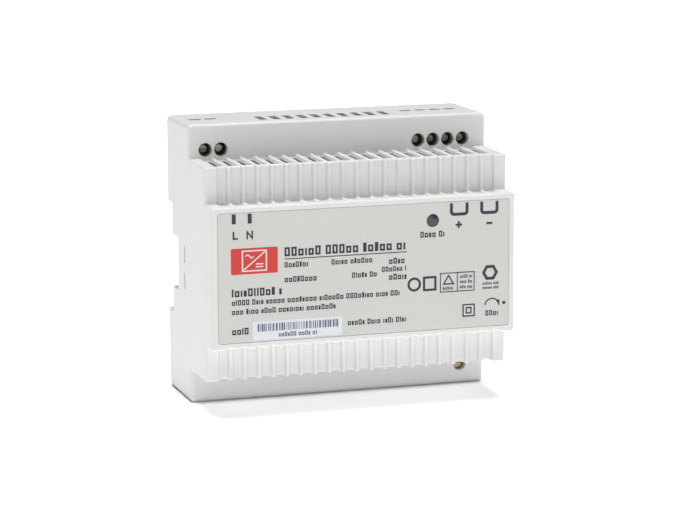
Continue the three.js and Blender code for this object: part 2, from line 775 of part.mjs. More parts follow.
add('input_terminal_block', makeBlock(INPUT_POLES), BLOCK);
add('output_terminal_block', makeBlock(OUTPUT_POLES), BLOCK);
function addPoles(side, poles) {
  poles.forEach((x, k) => {
    const n = k + 1;
    add(`${side}_terminal_screw_${n}`, makeTerminalScrew(x), STEEL);
    add(`${side}_clamp_cage_${n}`, makeCage(x), BRASS);
    add(`${side}_contact_bar_${n}`, makeContact(x), BRASS);
  });
}
addPoles('input', INPUT_POLES);
addPoles('output', OUTPUT_POLES);

add('main_board', makeBoard(), BOARD);
POST_PLACES.forEach(([x, z], k) => add(`board_screw_${k + 1}`, makeBoardScrew(x, z), STEEL));
add('trimmer_body', makeTrimmerBody(), CERAMIC);
add('trimmer_rotor', makeTrimmerRotor(), IVORY);

add('input_fuse', makeFuse(-42, 51), GLASS);
add('inrush_thermistor', disc(4.6, 3.4, -33.6, 60), BLACK);
add('suppression_capacitor', box(-37, -21, STAND - 14, STAND, 15, 22), FILM);
const CHOKE = new THREE.Vector3(-34, STAND - 9.4, 42);
add('line_choke_core', ring(CHOKE, AXIS_Y, AXIS_Z, 6, 2.4), FERRITE);
add('line_choke_winding_1', winding(CHOKE, AXIS_Y, AXIS_Z, 6, 2.4, 0.6, 2.5), COPPER);
add('line_choke_winding_2', winding(CHOKE, AXIS_Y, AXIS_Z, 6, 2.4, 3.8, 5.7), COPPER);
add('bridge_rectifier', makeBridge(-25.4, 55), BLACK);
add('bulk_capacitor', can(9, 31, -12.3, 55.5, 24), BLACK);
add('primary_heatsink', makeHeatsink(-26, -6, 40.2), ALUMINIUM);
add('switching_transistor', makeDevice(-16, 40.2), BLACK);
add('transistor_screw', makeDeviceScrew(-16, 40.2), STEEL);
add('transformer_core', makeTransformerCore(), FERRITE);
add('transformer_winding', makeTransformerWinding(), TAPE);
add('transformer_base', makeTransformerBase(), BLACK);
add('secondary_heatsink', makeHeatsink(25, 45, 40.2), ALUMINIUM);
add('output_rectifier', makeDevice(35, 40.2), BLACK);
add('rectifier_screw', makeDeviceScrew(35, 40.2), STEEL);
[[4, 54], [32, 56], [10, 64]].forEach(([x, z], k) => {
  add(`output_capacitor_${k + 1}`, can(4.6, 20, x, z, 16), BLACK);
});
const OUTPUT_CHOKE = new THREE.Vector3(33.5, STAND - 4.2, 23.5);
add('output_choke_core', ring(OUTPUT_CHOKE, AXIS_X, AXIS_Z, 6, 2.4), FERRITE);
add('output_choke_winding', winding(OUTPUT_CHOKE, AXIS_X, AXIS_Z, 6, 2.4, 0.3, 5.2), COPPER);
add('feedback_optocoupler', makeChip(-3, 2.6, 4.6, 12, 4), BLACK);
add('controller_chip', makeChip(-21, -11, 4.6, 12, 3.8), BLACK);
add('safety_capacitor', disc(2.6, 2.4, 14, 8), CERAMIC);

export default supply;
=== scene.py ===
"""Looks for the rail-mounted power supply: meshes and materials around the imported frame."""
import math
import random

import bmesh
import bpy
from mathutils import Matrix, Vector


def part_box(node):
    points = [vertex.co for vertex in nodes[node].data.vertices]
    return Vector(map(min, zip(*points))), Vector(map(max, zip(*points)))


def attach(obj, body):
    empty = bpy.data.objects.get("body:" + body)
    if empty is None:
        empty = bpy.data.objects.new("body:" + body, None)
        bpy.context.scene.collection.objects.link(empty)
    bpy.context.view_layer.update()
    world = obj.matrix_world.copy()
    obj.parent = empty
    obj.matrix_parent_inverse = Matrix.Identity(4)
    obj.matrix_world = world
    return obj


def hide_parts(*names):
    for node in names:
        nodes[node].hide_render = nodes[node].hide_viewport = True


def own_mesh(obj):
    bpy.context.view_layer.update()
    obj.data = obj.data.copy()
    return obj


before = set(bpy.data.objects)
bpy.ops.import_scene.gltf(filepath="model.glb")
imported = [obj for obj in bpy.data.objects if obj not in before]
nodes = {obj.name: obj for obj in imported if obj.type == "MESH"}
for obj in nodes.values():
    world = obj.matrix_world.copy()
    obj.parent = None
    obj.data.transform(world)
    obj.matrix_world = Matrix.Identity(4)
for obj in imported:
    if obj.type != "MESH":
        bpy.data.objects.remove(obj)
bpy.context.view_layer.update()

MM = 0.001
random.seed(20)

# ------ sizes, in millimetres


def spans(node):
    """A node's lowest and highest x, y and z, in millimetres."""
    low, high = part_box(node)
    return [(low[k] / MM, high[k] / MM) for k in range(3)]


def middle(pair):
    return (pair[0] + pair[1]) / 2


(CASE_LEFT, CASE_RIGHT), (FRONT, REAR), (_, HEIGHT) = spans("front_housing")
HALF = CASE_RIGHT
WALL = 2.0
SHOULDER = REAR - 28.5
CHEST = REAR - 48.0
CHEST_LOW = 11.0
CHEST_HIGH = HEIGHT - 11.0
NOSE_LOW = 22.5
NOSE_HIGH = HEIGHT - 22.5

FLUTES = 20
FLUTE_PITCH = 4.65
FLUTE_HALF = 1.525
FLUTE_DEPTH = 1.2
CHANNEL_SINK = 1.3
UNDER_SINK = 0.52
NOSE_SINK = 0.6
# Half of a flute, from its floor over the flank to the middle of the ridge: offset, depth share.
FLANK = [(1.2, 1.0), (1.34, 0.96), (1.44, 0.86), (1.5, 0.7), (1.54, 0.5), (1.6, 0.36), (1.7, 0.22),
         (1.84, 0.11), (2.04, 0.03), (2.325, 0.0)]

CHANNEL_LOW = 26.2
CHANNEL_HIGH = 61.8
SEAT = REAR - 6.5
RECESS = REAR - 13.5
RECESS_LOW = 34.5
RECESS_HIGH = 51.6

VENTS = 10
VENT_PITCH = 4.6
VENT_CENTRE = -2.7
VENT_HALF = 1.2
VENT_FRONT = SHOULDER + 5.2
VENT_BACK = SHOULDER + 14.2

POLES = {
    side: [middle(spans(f"{side}_terminal_screw_{k}")[0]) for k in range(1, count + 1)]
    for side, count in (("input", 2), ("output", 4))
}
POLE_Z = middle(spans("input_terminal_screw_1")[2])
SCREW_HOLE = 2.2
WIRE_Y = SHOULDER + 13.0
WIRE_HALF = (1.95, 1.7)

(PIPE_LEFT, PIPE_RIGHT), _, (PIPE_LOW, PIPE_TOP) = spans("light_pipe")
PIPE_X = (PIPE_LEFT + PIPE_RIGHT) / 2
PIPE_Z = (PIPE_LOW + PIPE_TOP) / 2
PIPE_RADIUS = (PIPE_TOP - PIPE_LOW) / 2
PIPE_HOLE = PIPE_RADIUS + 0.15
TRIM_X, _, TRIM_Z = [middle(pair) for pair in spans("trimmer_rotor")]
TRIM_HOLE = 2.1
SNAP_Y = REAR - 22
SNAP_HEIGHTS = (38.9, 47.5)
LATCH_WAY_FRONT = 17

(LABEL_LEFT, LABEL_RIGHT), (LABEL_FRONT, LABEL_BACK), (LABEL_LOW, LABEL_HIGH) = spans("front_label")

# ------ camera and light

CAMERA_AZIMUTH, CAMERA_ELEVATION, CAMERA_ROLL = -17.73, 10.33, -0.14
CAMERA_DISTANCE = 0.8643
CAMERA_NUDGE = 0.0004
CAMERA_LENS = 141.27
WORLD_LIGHT = 0.12


def turned(azimuth, elevation, roll):
    """Right, up and back directions of a camera that looks at the object from those angles."""
    a, e = math.radians(azimuth), math.radians(elevation)
    back = Vector((math.sin(a) * math.cos(e), -math.cos(a) * math.cos(e), math.sin(e)))
    right = Vector((math.cos(a), math.sin(a), 0))
    up = back.cross(right)
    turn = Matrix.Rotation(math.radians(roll), 3, back)
    return turn @ right, turn @ up, back


def aim(obj, right, up, back):
    obj.rotation_euler = Matrix((right, up, back)).transposed().to_euler()


def make_camera():
    data = bpy.data.cameras.new("camera")
    data.sensor_width = 36.0
    data.lens = CAMERA_LENS
    data.clip_start = 0.01
    data.clip_end = 20.0
    camera = bpy.data.objects.new("camera", data)
    bpy.context.scene.collection.objects.link(camera)
    right, up, back = turned(CAMERA_AZIMUTH, CAMERA_ELEVATION, CAMERA_ROLL)
    target = Vector((0, 0, HEIGHT / 2 * MM))
    camera.location = target + back * CAMERA_DISTANCE + (right + up) * CAMERA_NUDGE
    aim(camera, right, up, back)
    bpy.context.scene.camera = camera


def add_sun(name, azimuth, elevation, strength, spread):
    """A soft light from far off, in the camera's own angles, that lights the floor evenly."""
    data = bpy.data.lights.new(name, "SUN")
    data.energy = strength
    data.angle = math.radians(spread)
    light = link(bpy.data.objects.new(name, data))
    aim(light, *turned(azimuth, elevation, 0))


def make_lights():
    add_sun("overhead", -150, 88, 3.3, 32)
    add_sun("front_fill", -6, 3, 0.7, 44)
    world = bpy.data.worlds.new("studio")
    bpy.context.scene.world = world
    world.use_nodes = True
    tree = world.node_tree
    background = tree.nodes["Background"]
    seen = tree.nodes.new("ShaderNodeLightPath").outputs["Is Camera Ray"]
    strength = tree.nodes.new("ShaderNodeMapRange")
    strength.inputs["To Min"].default_value = WORLD_LIGHT
    strength.inputs["To Max"].default_value = 1.0
    tree.links.new(seen, strength.inputs["Value"])
    tree.links.new(strength.outputs["Result"], background.inputs["Strength"])
    background.inputs["Color"].default_value = (1.0, 1.0, 1.0, 1.0)
    bpy.context.scene.view_settings.view_transform = "Standard"
    bpy.context.scene.view_settings.look = "None"


# ------ materials


class Graph:
    """A material's node tree, with short ways to add what the materials here share."""

    def __init__(self, name):
        self.material = bpy.data.materials.new(name)
        self.material.use_nodes = True
        self.tree = self.material.node_tree
        self.shader = self.tree.nodes["Principled BSDF"]
        self.place = self.add("TexCoord").outputs["Object"]

    def add(self, kind, inputs=None, **settings):
        """A node with settings, and plain values on the named inputs."""
        node = self.tree.nodes.new("ShaderNode" + kind)
        for key, value in settings.items():
            setattr(node, key, value)
        for key, value in (inputs or {}).items():
            node.inputs[key].default_value = value
        return node

    def link(self, source, target):
        self.tree.links.new(source, target)

    def set(self, **values):
        """Plain values on the shader's own sockets."""
        for key, value in values.items():
            self.shader.inputs[key.replace("_", " ")].default_value = value

    def noise(self, size, detail=4.0, stretch=(1, 1, 1)):
        """Noise whose features are about size millimetres wide."""
        mapping = self.add("Mapping", {"Scale": stretch})
        self.link(self.place, mapping.inputs["Vector"])
        node = self.add("TexNoise", {"Scale": 1 / (size * MM), "Detail": detail})
        self.link(mapping.outputs["Vector"], node.inputs["Vector"])
        return node.outputs["Fac"]

    def ramp(self, factor, stops):
        node = self.add("ValToRGB")
        while len(node.color_ramp.elements) < len(stops):
            node.color_ramp.elements.new(0.5)
        for element, (at, colour) in zip(node.color_ramp.elements, stops):
            element.position = at
            element.color = (*colour, 1.0)
        self.link(factor, node.inputs["Fac"])
        return node.outputs["Color"]

    def remap(self, factor, low, high, start=0.3, stop=0.7):
        ends = {"From Min": start, "From Max": stop, "To Min": low, "To Max": high}
        node = self.add("MapRange", ends)
        self.link(factor, node.inputs["Value"])
        return node.outputs["Result"]

    def mix(self, factor, a, b):
        node = self.add("Mix", data_type="RGBA")
        self.link(factor, node.inputs[0])
        for value, socket in ((a, node.inputs[6]), (b, node.inputs[7])):
            if isinstance(value, tuple):
                socket.default_value = (*value, 1.0)
            else:
                self.link(value, socket)
        return node.outputs[2]

    def edges(self):
        """1 on worn convex edges, 0 elsewhere."""
        return self.remap(self.add("NewGeometry").outputs["Pointiness"], 0.0, 1.0, 0.52, 0.62)

    def bump(self, heights):
        """Heights is a list of (factor, height in millimetres), stacked."""
        below = None
        for factor, height in heights:
            node = self.add("Bump", {"Distance": height * MM})
            self.link(factor, node.inputs["Height"])
            if below is not None:
                self.link(below, node.inputs["Normal"])
            below = node.outputs["Normal"]
        self.link(below, self.shader.inputs["Normal"])

    def pin_marks(self, pitch, radius, width, lowest):
        """1 on the thin round witness marks of ejector pins, on a square grid over x and z."""
        start = (pitch / 2 * MM, 0, -lowest * MM)
        mapping = self.add("Mapping", {"Location": start, "Scale": (1, 0, 1)})
        self.link(self.place, mapping.inputs["Vector"])
        grid = self.add("TexVoronoi", {"Randomness": 0.0, "Scale": 1 / (pitch * MM)})
        self.link(mapping.outputs["Vector"], grid.inputs["Vector"])
        off = self.add("Math", {1: radius / pitch}, operation="SUBTRACT")
        self.link(grid.outputs["Distance"], off.inputs[0])
        away = self.add("Math", operation="ABSOLUTE")
        self.link(off.outputs["Value"], away.inputs[0])
        return self.remap(away.outputs["Value"], 1.0, 0.0, 0.0, width / pitch)

    def colour(self, source):
        self.link(source, self.shader.inputs["Base Color"])

    def roughness(self, source):
        self.link(source, self.shader.inputs["Roughness"])


def shade(colour, factor):
    return tuple(min(1.0, c * factor) for c in colour)


def moulded(name, colour, rough=0.45, grain=0.35, depth=0.012, cloud=18.0, vary=0.03,
            worn=None, pins=False):
    """Moulded plastic: grain, slow tone changes and, where asked for, worn edges or pin marks."""
    g = Graph(name)
    slow = g.noise(cloud, 3.0)
    fine = g.noise(grain, 6.0)
    tone = g.ramp(slow, [(0.3, shade(colour, 1 - vary)), (0.7, shade(colour, 1 + vary / 2))])
    speck = g.ramp(fine, [(0.35, (0.97, 0.97, 0.97)), (0.65, (1.0, 1.0, 1.0))])
    node = g.add("Mix", {0: 1.0}, data_type="RGBA", blend_type="MULTIPLY")
    g.link(tone, node.inputs[6])
    g.link(speck, node.inputs[7])
    cover = node.outputs[2]
    heights = [(g.noise(cloud / 4, 2.0), depth * 0.6), (fine, depth)]
    if worn:
        cover = g.mix(g.edges(), cover, shade(colour, worn))
    if pins:
        marks = g.pin_marks(17.7, 2.1, 0.1, 11.9)
        cover = g.mix(marks, cover, shade(colour, 0.8))
        heights.append((g.remap(marks, 1.0, 0.0, 0.0, 1.0), 0.12))
    g.colour(cover)
    g.roughness(g.remap(g.noise(grain * 4, 4.0), rough - 0.05, rough + 0.07))
    g.bump(heights)
    g.set(IOR=1.5)
    return g.material


def metal(name, colour, rough=0.32, brushed=(1, 1, 1), stain=None, scratch=0.5):
    """Bare or plated metal with drawn marks, a slow tarnish and fine pitting."""
    g = Graph(name)
    marks = g.noise(scratch, 5.0, brushed)
    slow = g.noise(5.0, 4.0)
    dark = stain or shade(colour, 0.72)
    g.colour(g.mix(g.edges(), g.ramp(slow, [(0.35, dark), (0.62, colour)]), shade(colour, 1.15)))
    g.roughness(g.remap(marks, rough - 0.08, rough + 0.14))
    g.bump([(marks, 0.006), (g.noise(0.2, 3.0), 0.003)])
    g.set(Metallic=1.0)
    return g.material


def printed(name, colour, rough=0.5):
    """Screen-printed ink: slightly uneven cover and a fine tooth."""
    g = Graph(name)
    cover = g.noise(0.5, 5.0)
    g.colour(g.ramp(cover, [(0.3, shade(colour, 0.88)), (0.7, shade(colour, 1.1))]))
    g.roughness(g.remap(cover, rough - 0.06, rough + 0.08))
    g.bump([(cover, 0.004)])
    return g.material


def clear(name, colour, rough=0.08, passes=0.85):
    """Tinted clear plastic, epoxy or glass, with faint flow lines."""
    g = Graph(name)
    flow = g.noise(1.6, 3.0, (1, 0.25, 1))
    g.colour(g.ramp(flow, [(0.3, shade(colour, 0.9)), (0.7, shade(colour, 1.08))]))
    g.roughness(g.remap(flow, rough, rough + 0.08))
    g.bump([(flow, 0.004)])
    g.set(Transmission_Weight=passes, IOR=1.52)
    return g.material


def laminate(name):
    """Tan board: a woven tone, and tracks under the varnish seen as soft ridges."""
    g = Graph(name)
    weave = g.add("TexWave", {"Scale": 900, "Distortion": 1.5}, wave_type="BANDS",
                  bands_direction="DIAGONAL")
    g.link(g.place, weave.inputs["Vector"])
    cells = g.add("TexVoronoi", {"Scale": 160}, distance="CHEBYCHEV", feature="DISTANCE_TO_EDGE")
    g.link(g.place, cells.inputs["Vector"])
    track = g.remap(cells.outputs["Distance"], 1.0, 0.0, 0.05, 0.09)
    base = g.ramp(weave.outputs["Fac"], [(0.2, (0.40, 0.30, 0.15)), (0.8, (0.47, 0.36, 0.19))])
    g.colour(g.mix(track, base, (0.30, 0.24, 0.10)))
    g.roughness(g.remap(g.noise(0.8), 0.35, 0.5))
    g.bump([(track, 0.03), (weave.outputs["Fac"], 0.006)])
    return g.material


def wound(name, colour, depth):
    """Enamelled wire under varnish: colour changes from turn to turn."""
    g = Graph(name)
    slow = g.noise(3.0, 3.0)
    fine = g.noise(0.3, 3.0)
    g.colour(g.ramp(slow, [(0.3, shade(colour, 0.72)), (0.7, shade(colour, 1.15))]))
    g.roughness(g.remap(fine, 0.22, 0.36))
    g.bump([(fine, depth)])
    g.set(Metallic=0.75, Coat_Weight=0.5, Coat_Roughness=0.15)
    return g.material


def make_materials():
    white = (0.752, 0.752, 0.742)
    recipes = {
        "case_plastic": (moulded, white, 0.42, 0.30, 0.010, 22.0, 0.02),
        "base_plastic": (moulded, white, 0.42, 0.30, 0.010, 22.0, 0.02, None, True),
        "label_film": (moulded, (0.622, 0.622, 0.598), 0.38, 0.9, 0.004, 30.0, 0.02),
        "latch_plastic": (moulded, (0.74, 0.745, 0.74), 0.4, 0.5, 0.010, 8.0),
        "smoked_plastic": (clear, (0.055, 0.065, 0.085), 0.12, 0.3),
        "led_epoxy": (clear, (0.30, 0.62, 0.32), 0.1, 0.7),
        "block_plastic": (moulded, (0.045, 0.15, 0.085), 0.38, 0.4, 0.010, 6.0, 0.1, 1.5),
        "screw_steel": (metal, (0.34, 0.35, 0.33), 0.4, (1, 1, 1), (0.14, 0.14, 0.12)),
        "zinc_steel": (metal, (0.62, 0.63, 0.62), 0.3, (1, 1, 1), (0.40, 0.38, 0.33)),
        "spring_steel": (metal, (0.42, 0.43, 0.45), 0.28, (1, 1, 4)),
        "plated_brass": (metal, (0.72, 0.56, 0.27), 0.3, (1, 1, 1), (0.45, 0.33, 0.15)),
        "aluminium_plate": (metal, (0.62, 0.63, 0.64), 0.34, (0.12, 1, 1), None, 0.35),
        "board_laminate": (laminate,),
        "ivory_plastic": (moulded, (0.86, 0.69, 0.42), 0.4, 0.3, 0.008, 3.0, 0.08),
        "black_plastic": (moulded, (0.018, 0.018, 0.020), 0.5, 0.3, 0.014, 6.0, 0.15, 1.8),
        "can_sleeve": (moulded, (0.012, 0.014, 0.030), 0.25, 0.8, 0.004, 9.0, 0.15, 1.6),
        "ferrite": (moulded, (0.045, 0.045, 0.050), 0.62, 0.18, 0.016, 4.0, 0.2, 1.6),
        "copper_wire": (wound, (0.62, 0.24, 0.09), 0.004),
        "yellow_film": (moulded, (0.72, 0.46, 0.05), 0.3, 0.7, 0.008, 7.0, 0.06),
        "fuse_glass": (clear, (0.86, 0.90, 0.90), 0.04, 0.9),
        "disc_ceramic": (moulded, (0.03, 0.12, 0.20), 0.25, 0.9, 0.02, 3.0, 0.15),
        "ink_dark": (printed, (0.022, 0.022, 0.035)),
        "ink_red": (printed, (0.62, 0.035, 0.03)),
        "ink_white": (printed, (0.72, 0.70, 0.69)),
        "sticker": (printed, (0.72, 0.755, 0.80), 0.4),
        "sticker_ink": (printed, (0.10, 0.12, 0.20)),
    }
    return {name: maker(name, *values) for name, (maker, *values) in recipes.items()}


# ------ mesh helpers


def link(obj):
    bpy.context.scene.collection.objects.link(obj)
    return obj


def mesh_object(name, points, faces):
    """An object from points in millimetres, with its faces turned outwards."""
    mesh = bpy.data.meshes.new(name)
    mesh.from_pydata([Vector(p) * MM for p in points], [], faces)
    bm = bmesh.new()
    bm.from_mesh(mesh)
    bmesh.ops.remove_doubles(bm, verts=bm.verts, dist=1e-8)
    bmesh.ops.recalc_face_normals(bm, faces=bm.faces)
    bm.to_mesh(mesh)
    bm.free()
    return link(bpy.data.objects.new(name, mesh))


def loft(sections, closed=False):
    """Faces between equal rings of points, with end caps unless the loft closes on itself."""
    count = len(sections[0])
    points = [p for ring in sections for p in ring]
    faces = []
    rows = len(sections) if closed else len(sections) - 1
    for r in range(rows):
        a, b = r * count, (r + 1) % len(sections) * count
        for k in range(count):
            n = (k + 1) % count
            faces.append((a + k, a + n, b + n, b + k))
    if not closed:
        faces.append(tuple(range(count)))
        last = (len(sections) - 1) * count
        faces.append(tuple(range(last, last + count)))
    return points, faces


def placed(axis, along, flat):
    """A point from its place along an axis and its two other coordinates, in x, y, z order."""
    u, v = flat
    return {"x": (along, u, v), "y": (u, along, v), "z": (u, v, along)}[axis]


def rounded_outline(half_u, half_v, radius, steps=5):
    """A function of growth that gives a rounded rectangle, a circle where all sizes are equal."""

    def outline(grow):
        r = radius + grow
        points = []
        for quarter, (su, sv) in enumerate(((1, 1), (-1, 1), (-1, -1), (1, -1))):
            cu, cv = su * (half_u - radius), sv * (half_v - radius)
            for k in range(steps + 1):
                angle = math.pi / 2 * (quarter + k / steps)
                points.append((cu + r * math.cos(angle), cv + r * math.sin(angle)))
        return points

    return outline


def circle(radius, steps):
    return rounded_outline(radius, radius, radius, steps)


def rounded_levels(surface, out, edge, inside, steps=3):
    """Places and growths of a cutter that leaves a rounded edge where it leaves a surface."""
    levels = [(surface - out * inside, 0.0)]
    for k in range(steps + 1):
        turn = math.pi / 2 * k / steps
        levels.append((surface - out * edge * (1 - math.sin(turn)), edge * (1 - math.cos(turn))))
    levels.append((surface + out * 0.8, edge))
    return levels


def plug(axis, centre, outline, levels):
    """A closed cutter or peg: the outline at each level, grown as that level says."""
    sections = []
    for along, grow in levels:
        ring = [(centre[0] + u, centre[1] + v) for u, v in outline(grow)]
        sections.append([placed(axis, along, p) for p in ring])
    return loft(sections)


def prism(axis, outline, start, stop):
    """A closed prism of any outline, a list of pairs."""
    return loft([[placed(axis, at, p) for p in outline] for at in (start, stop)])


def block(x0, x1, y0, y1, z0, z1):
    return prism("z", [(x0, y0), (x1, y0), (x1, y1), (x0, y1)], z0, z1)


def merged(shapes):
    points, faces = [], []
    for more_points, more_faces in shapes:
        start = len(points)
        points += more_points
        faces += [tuple(start + k for k in face) for face in more_faces]
    return points, faces


def applied(obj):
    """Puts the result of an object's modifiers into its mesh."""
    graph = bpy.context.evaluated_depsgraph_get()
    mesh = bpy.data.meshes.new_from_object(obj.evaluated_get(graph))
    old = obj.data
    obj.modifiers.clear()
    obj.data = mesh
    bpy.data.meshes.remove(old)
    return obj


def carve(obj, shapes, operation="DIFFERENCE"):
    """Cuts batches of separate shapes out of a closed mesh, or joins them to it."""
    for batch in shapes:
        tool = mesh_object("tool", *merged(batch))
        modifier = obj.modifiers.new("carve", "BOOLEAN")
        modifier.operation = operation
        modifier.solver = "MANIFOLD"
        modifier.object = tool
        applied(obj)
        bpy.data.objects.remove(tool)
    return obj


def flattened(obj):
    """Joins faces that lie in one plane, so that flat walls shade flat."""
    bm = bmesh.new()
    bm.from_mesh(obj.data)
    bmesh.ops.dissolve_limit(bm, angle_limit=math.radians(0.2), verts=bm.verts, edges=bm.edges)
    bm.to_mesh(obj.data)
    bm.free()
    return obj


def softened(obj, width, angle=32):
    """Gives small rounded edges where faces meet at more than the angle."""
    modifier = obj.modifiers.new("soft_edges", "BEVEL")
    modifier.width = width * MM
    modifier.segments = 2
    modifier.limit_method = "ANGLE"
    modifier.angle_limit = math.radians(angle)
    modifier.use_clamp_overlap = True
    return obj


def smooth(obj, angle=38):
    for polygon in obj.data.polygons:
        polygon.use_smooth = True
    obj.data.set_sharp_from_angle(angle=math.radians(angle))
    modifier = obj.modifiers.new("flat_faces", "WEIGHTED_NORMAL")
    modifier.keep_sharp = True
    return obj


def finished(obj, material, replaced=(), body="case", angle=38):
    """The last steps of a piece: material, shading, body and the nodes it stands for."""
    obj.data.materials.clear()
    obj.data.materials.append(MATERIALS[material])
    smooth(obj, angle)
    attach(obj, body)
    if replaced:
        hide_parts(*replaced)
    return obj


def lathe(axis, centre, profile, sides=48):
    """A turned solid: profile is pairs of place along the axis and radius, from end to end."""
    sections = []
    for along, radius in profile:
        ring = []
        for k in range(sides):
            angle = 2 * math.pi * k / sides
            u = centre[0] + radius * math.cos(angle)
            v = centre[1] + radius * math.sin(angle)
            ring.append(placed(axis, along, (u, v)))
        sections.append(ring)
    return loft(sections)


def tube(path, radius, sides=10, closed=False):
    """A round wire along a list of points, in millimetres."""
    sections = []
    points = [Vector(p) for p in path]
    normal = None
    for k, point in enumerate(points):
        if closed:
            ahead = (points[(k + 1) % len(points)] - points[k - 1]).normalized()
        else:
            ahead = (points[min(k + 1, len(points) - 1)] - points[max(k - 1, 0)]).normalized()
        if normal is None:
            normal = ahead.orthogonal().normalized()
        normal = (normal - ahead * normal.dot(ahead)).normalized()
        side = ahead.cross(normal)
        ring = []
        for s in range(sides):
            angle = 2 * math.pi * s / sides
            ring.append(point + normal * radius * math.cos(angle) + side * radius * math.sin(angle))
        sections.append(ring)
    return loft(sections, closed)


# ------ housing


def corner_points(before, corner, after, radius, steps, inset):
    """The arc that rounds one corner of an outline moved in by inset, or just the corner."""
    c = Vector(corner)
    if radius <= 0:
        return [c]
    convex = (c - Vector(before)).cross(Vector(after) - c) > 0
    radius = max(0.06, radius - inset) if convex else radius + inset
    to_before = (Vector(before) - c).normalized()
    to_after = (Vector(after) - c).normalized()
    half = to_before.angle(to_after) / 2
    reach = radius / math.tan(half)
    start, stop = c + to_before * reach, c + to_after * reach
    centre = c + (to_before + to_after).normalized() * radius / math.sin(half)
    first = start - centre
    turn = first.angle_signed(stop - centre)
    return [centre + Matrix.Rotation(-turn * k / steps, 2) @ first for k in range(steps + 1)]


def moved_corner(before, corner, after, insets):
    """A corner of an outline whose two sides move in by their own insets."""
    c = Vector(corner)
    first, second = (c - Vector(before)).normalized(), (Vector(after) - c).normalized()
    a, b = Vector((-first.y, first.x)), Vector((-second.y, second.x))
    turn = first.cross(second)
    if abs(turn) < 1e-6:
        return c + a * insets[0]
    return c + (first * -insets[1] + second * insets[0]) / turn


def housing_profile(groove, arch, edge, wide_edge):
    """The case's outline in y and z. Groove is 0 on a ridge and 1 in a flute, and so is the rounder
    arch. The sides move in by edge, and those of the rear block by wide_edge."""
    chest = CHEST + FLUTE_DEPTH * groove
    step_back = CHEST_HIGH - CHANNEL_SINK * 0.7 * groove
    step_front = CHEST_HIGH - CHANNEL_SINK * groove
    under = CHEST_LOW + UNDER_SINK * arch
    nose_top = NOSE_HIGH - NOSE_SINK * groove
    nose_under = NOSE_LOW + NOSE_SINK * arch
    corners = [
        (SHOULDER, 0, 1.6, 6),
        (REAR, 0, 2.2, 6),
        (REAR, HEIGHT, 2.2, 6),
        (SHOULDER, HEIGHT, 1.1, 5),
        (SHOULDER, step_back, 0.4, 3),
        (SHOULDER - 1.0, step_back, 0, 0),
        (CHEST + 3.1, step_front, 0, 0),
        (CHEST + 2.8, (CHEST_HIGH + step_front) / 2, 0, 0),
        (CHEST + 2.6, CHEST_HIGH - 0.1 * groove, 0, 0),
        (CHEST + 2.3, CHEST_HIGH, 0, 0),
        (chest, CHEST_HIGH, 0.75, 4),
        (chest, nose_top, 0.4, 3),
        (FRONT + 2.4, nose_top, 0, 0),
        (FRONT + 1.6, NOSE_HIGH, 0, 0),
        (FRONT, NOSE_HIGH, 0.75, 4),
        (FRONT, nose_under, 0.75, 4),
        (chest, nose_under, 0.4, 3),
        (chest, under, 0.75, 4),
        (SHOULDER - 1.6, under, 0, 0),
        (SHOULDER - 0.8, CHEST_LOW, 0, 0),
        (SHOULDER, CHEST_LOW, 0.4, 3),
    ]
    count = len(corners)
    insets = [wide_edge] * 3 + [edge] * (count - 4) + [wide_edge]
    moved = []
    for k, corner in enumerate(corners):
        before, after = corners[k - 1][:2], corners[(k + 1) % count][:2]
        moved.append(moved_corner(before, corner[:2], after, (insets[k - 1], insets[k])))
    points = []
    for k, (_, _, radius, steps) in enumerate(corners):
        inset = min(insets[k - 1], insets[k])
        near = (moved[k - 1], moved[k], moved[(k + 1) % count])
        points += corner_points(*near, radius, steps, inset)
    return points


def shrunk(points, inset):
    """An outline moved inwards by inset, point by point."""
    if inset == 0:
        return points
    area = sum(a.cross(b) for a, b in zip(points, points[1:] + points[:1]))
    side = 1 if area > 0 else -1
    moved = []
    for k, point in enumerate(points):
        before = (point - points[k - 1]).normalized()
        after = (points[(k + 1) % len(points)] - point).normalized()
        a = Vector((-before.y, before.x)) * side
        b = Vector((-after.y, after.x)) * side
        mitre = (a + b).normalized()
        moved.append(point + mitre * inset / max(0.5, mitre.dot(a)))
    return moved


def flute_centres():
    return [(k - (FLUTES - 1) / 2) * FLUTE_PITCH for k in range(FLUTES)]


def housing_stations():
    """Places along x with the depth of the flute and its arch, and the insets of the end's edges."""
    wide, small = 1.7, 0.7
    stations = []
    for along in (0.0, 0.07, 0.25, 0.5, 0.8, 1.2, wide):
        insets = [r - math.sqrt(r * r - max(0.0, r - along) ** 2) for r in (small, wide)]
        stations.append((-HALF + along, 0.0, 0.0, *insets))
    half = []
    for reach, depth in [(0.3, 1.0), (0.6, 1.0), (0.9, 1.0)] + FLANK:
        wave = math.cos(math.pi * reach / FLUTE_PITCH)
        half.append((reach, depth, wave * (0.6 + 0.4 * wave), 0.0, 0.0))
    for x in flute_centres():
        first = 0 if x == flute_centres()[0] else 1
        left = [(x - reach, *rest) for reach, *rest in reversed(half)]
        stations += left[first:]
        stations += [(x + reach, *rest) for reach, *rest in half]
    return stations + [(-x, *rest) for x, *rest in reversed(stations[:7])]


def room_outline():
    """The hollow inside the case, open at the back."""
    return [
        (REAR + 1, WALL),
        (REAR + 1, HEIGHT - WALL),
        (SHOULDER + WALL, HEIGHT - WALL),
        (SHOULDER + WALL, CHEST_HIGH - WALL),
        (CHEST + WALL, CHEST_HIGH - WALL),
        (CHEST + WALL, NOSE_HIGH - WALL),
        (FRONT + WALL, NOSE_HIGH - WALL),
        (FRONT + WALL, NOSE_LOW + WALL),
        (CHEST + WALL, NOSE_LOW + WALL),
        (CHEST + WALL, CHEST_LOW + WALL),
        (SHOULDER + WALL, CHEST_LOW + WALL),
        (SHOULDER + WALL, WALL),
    ]


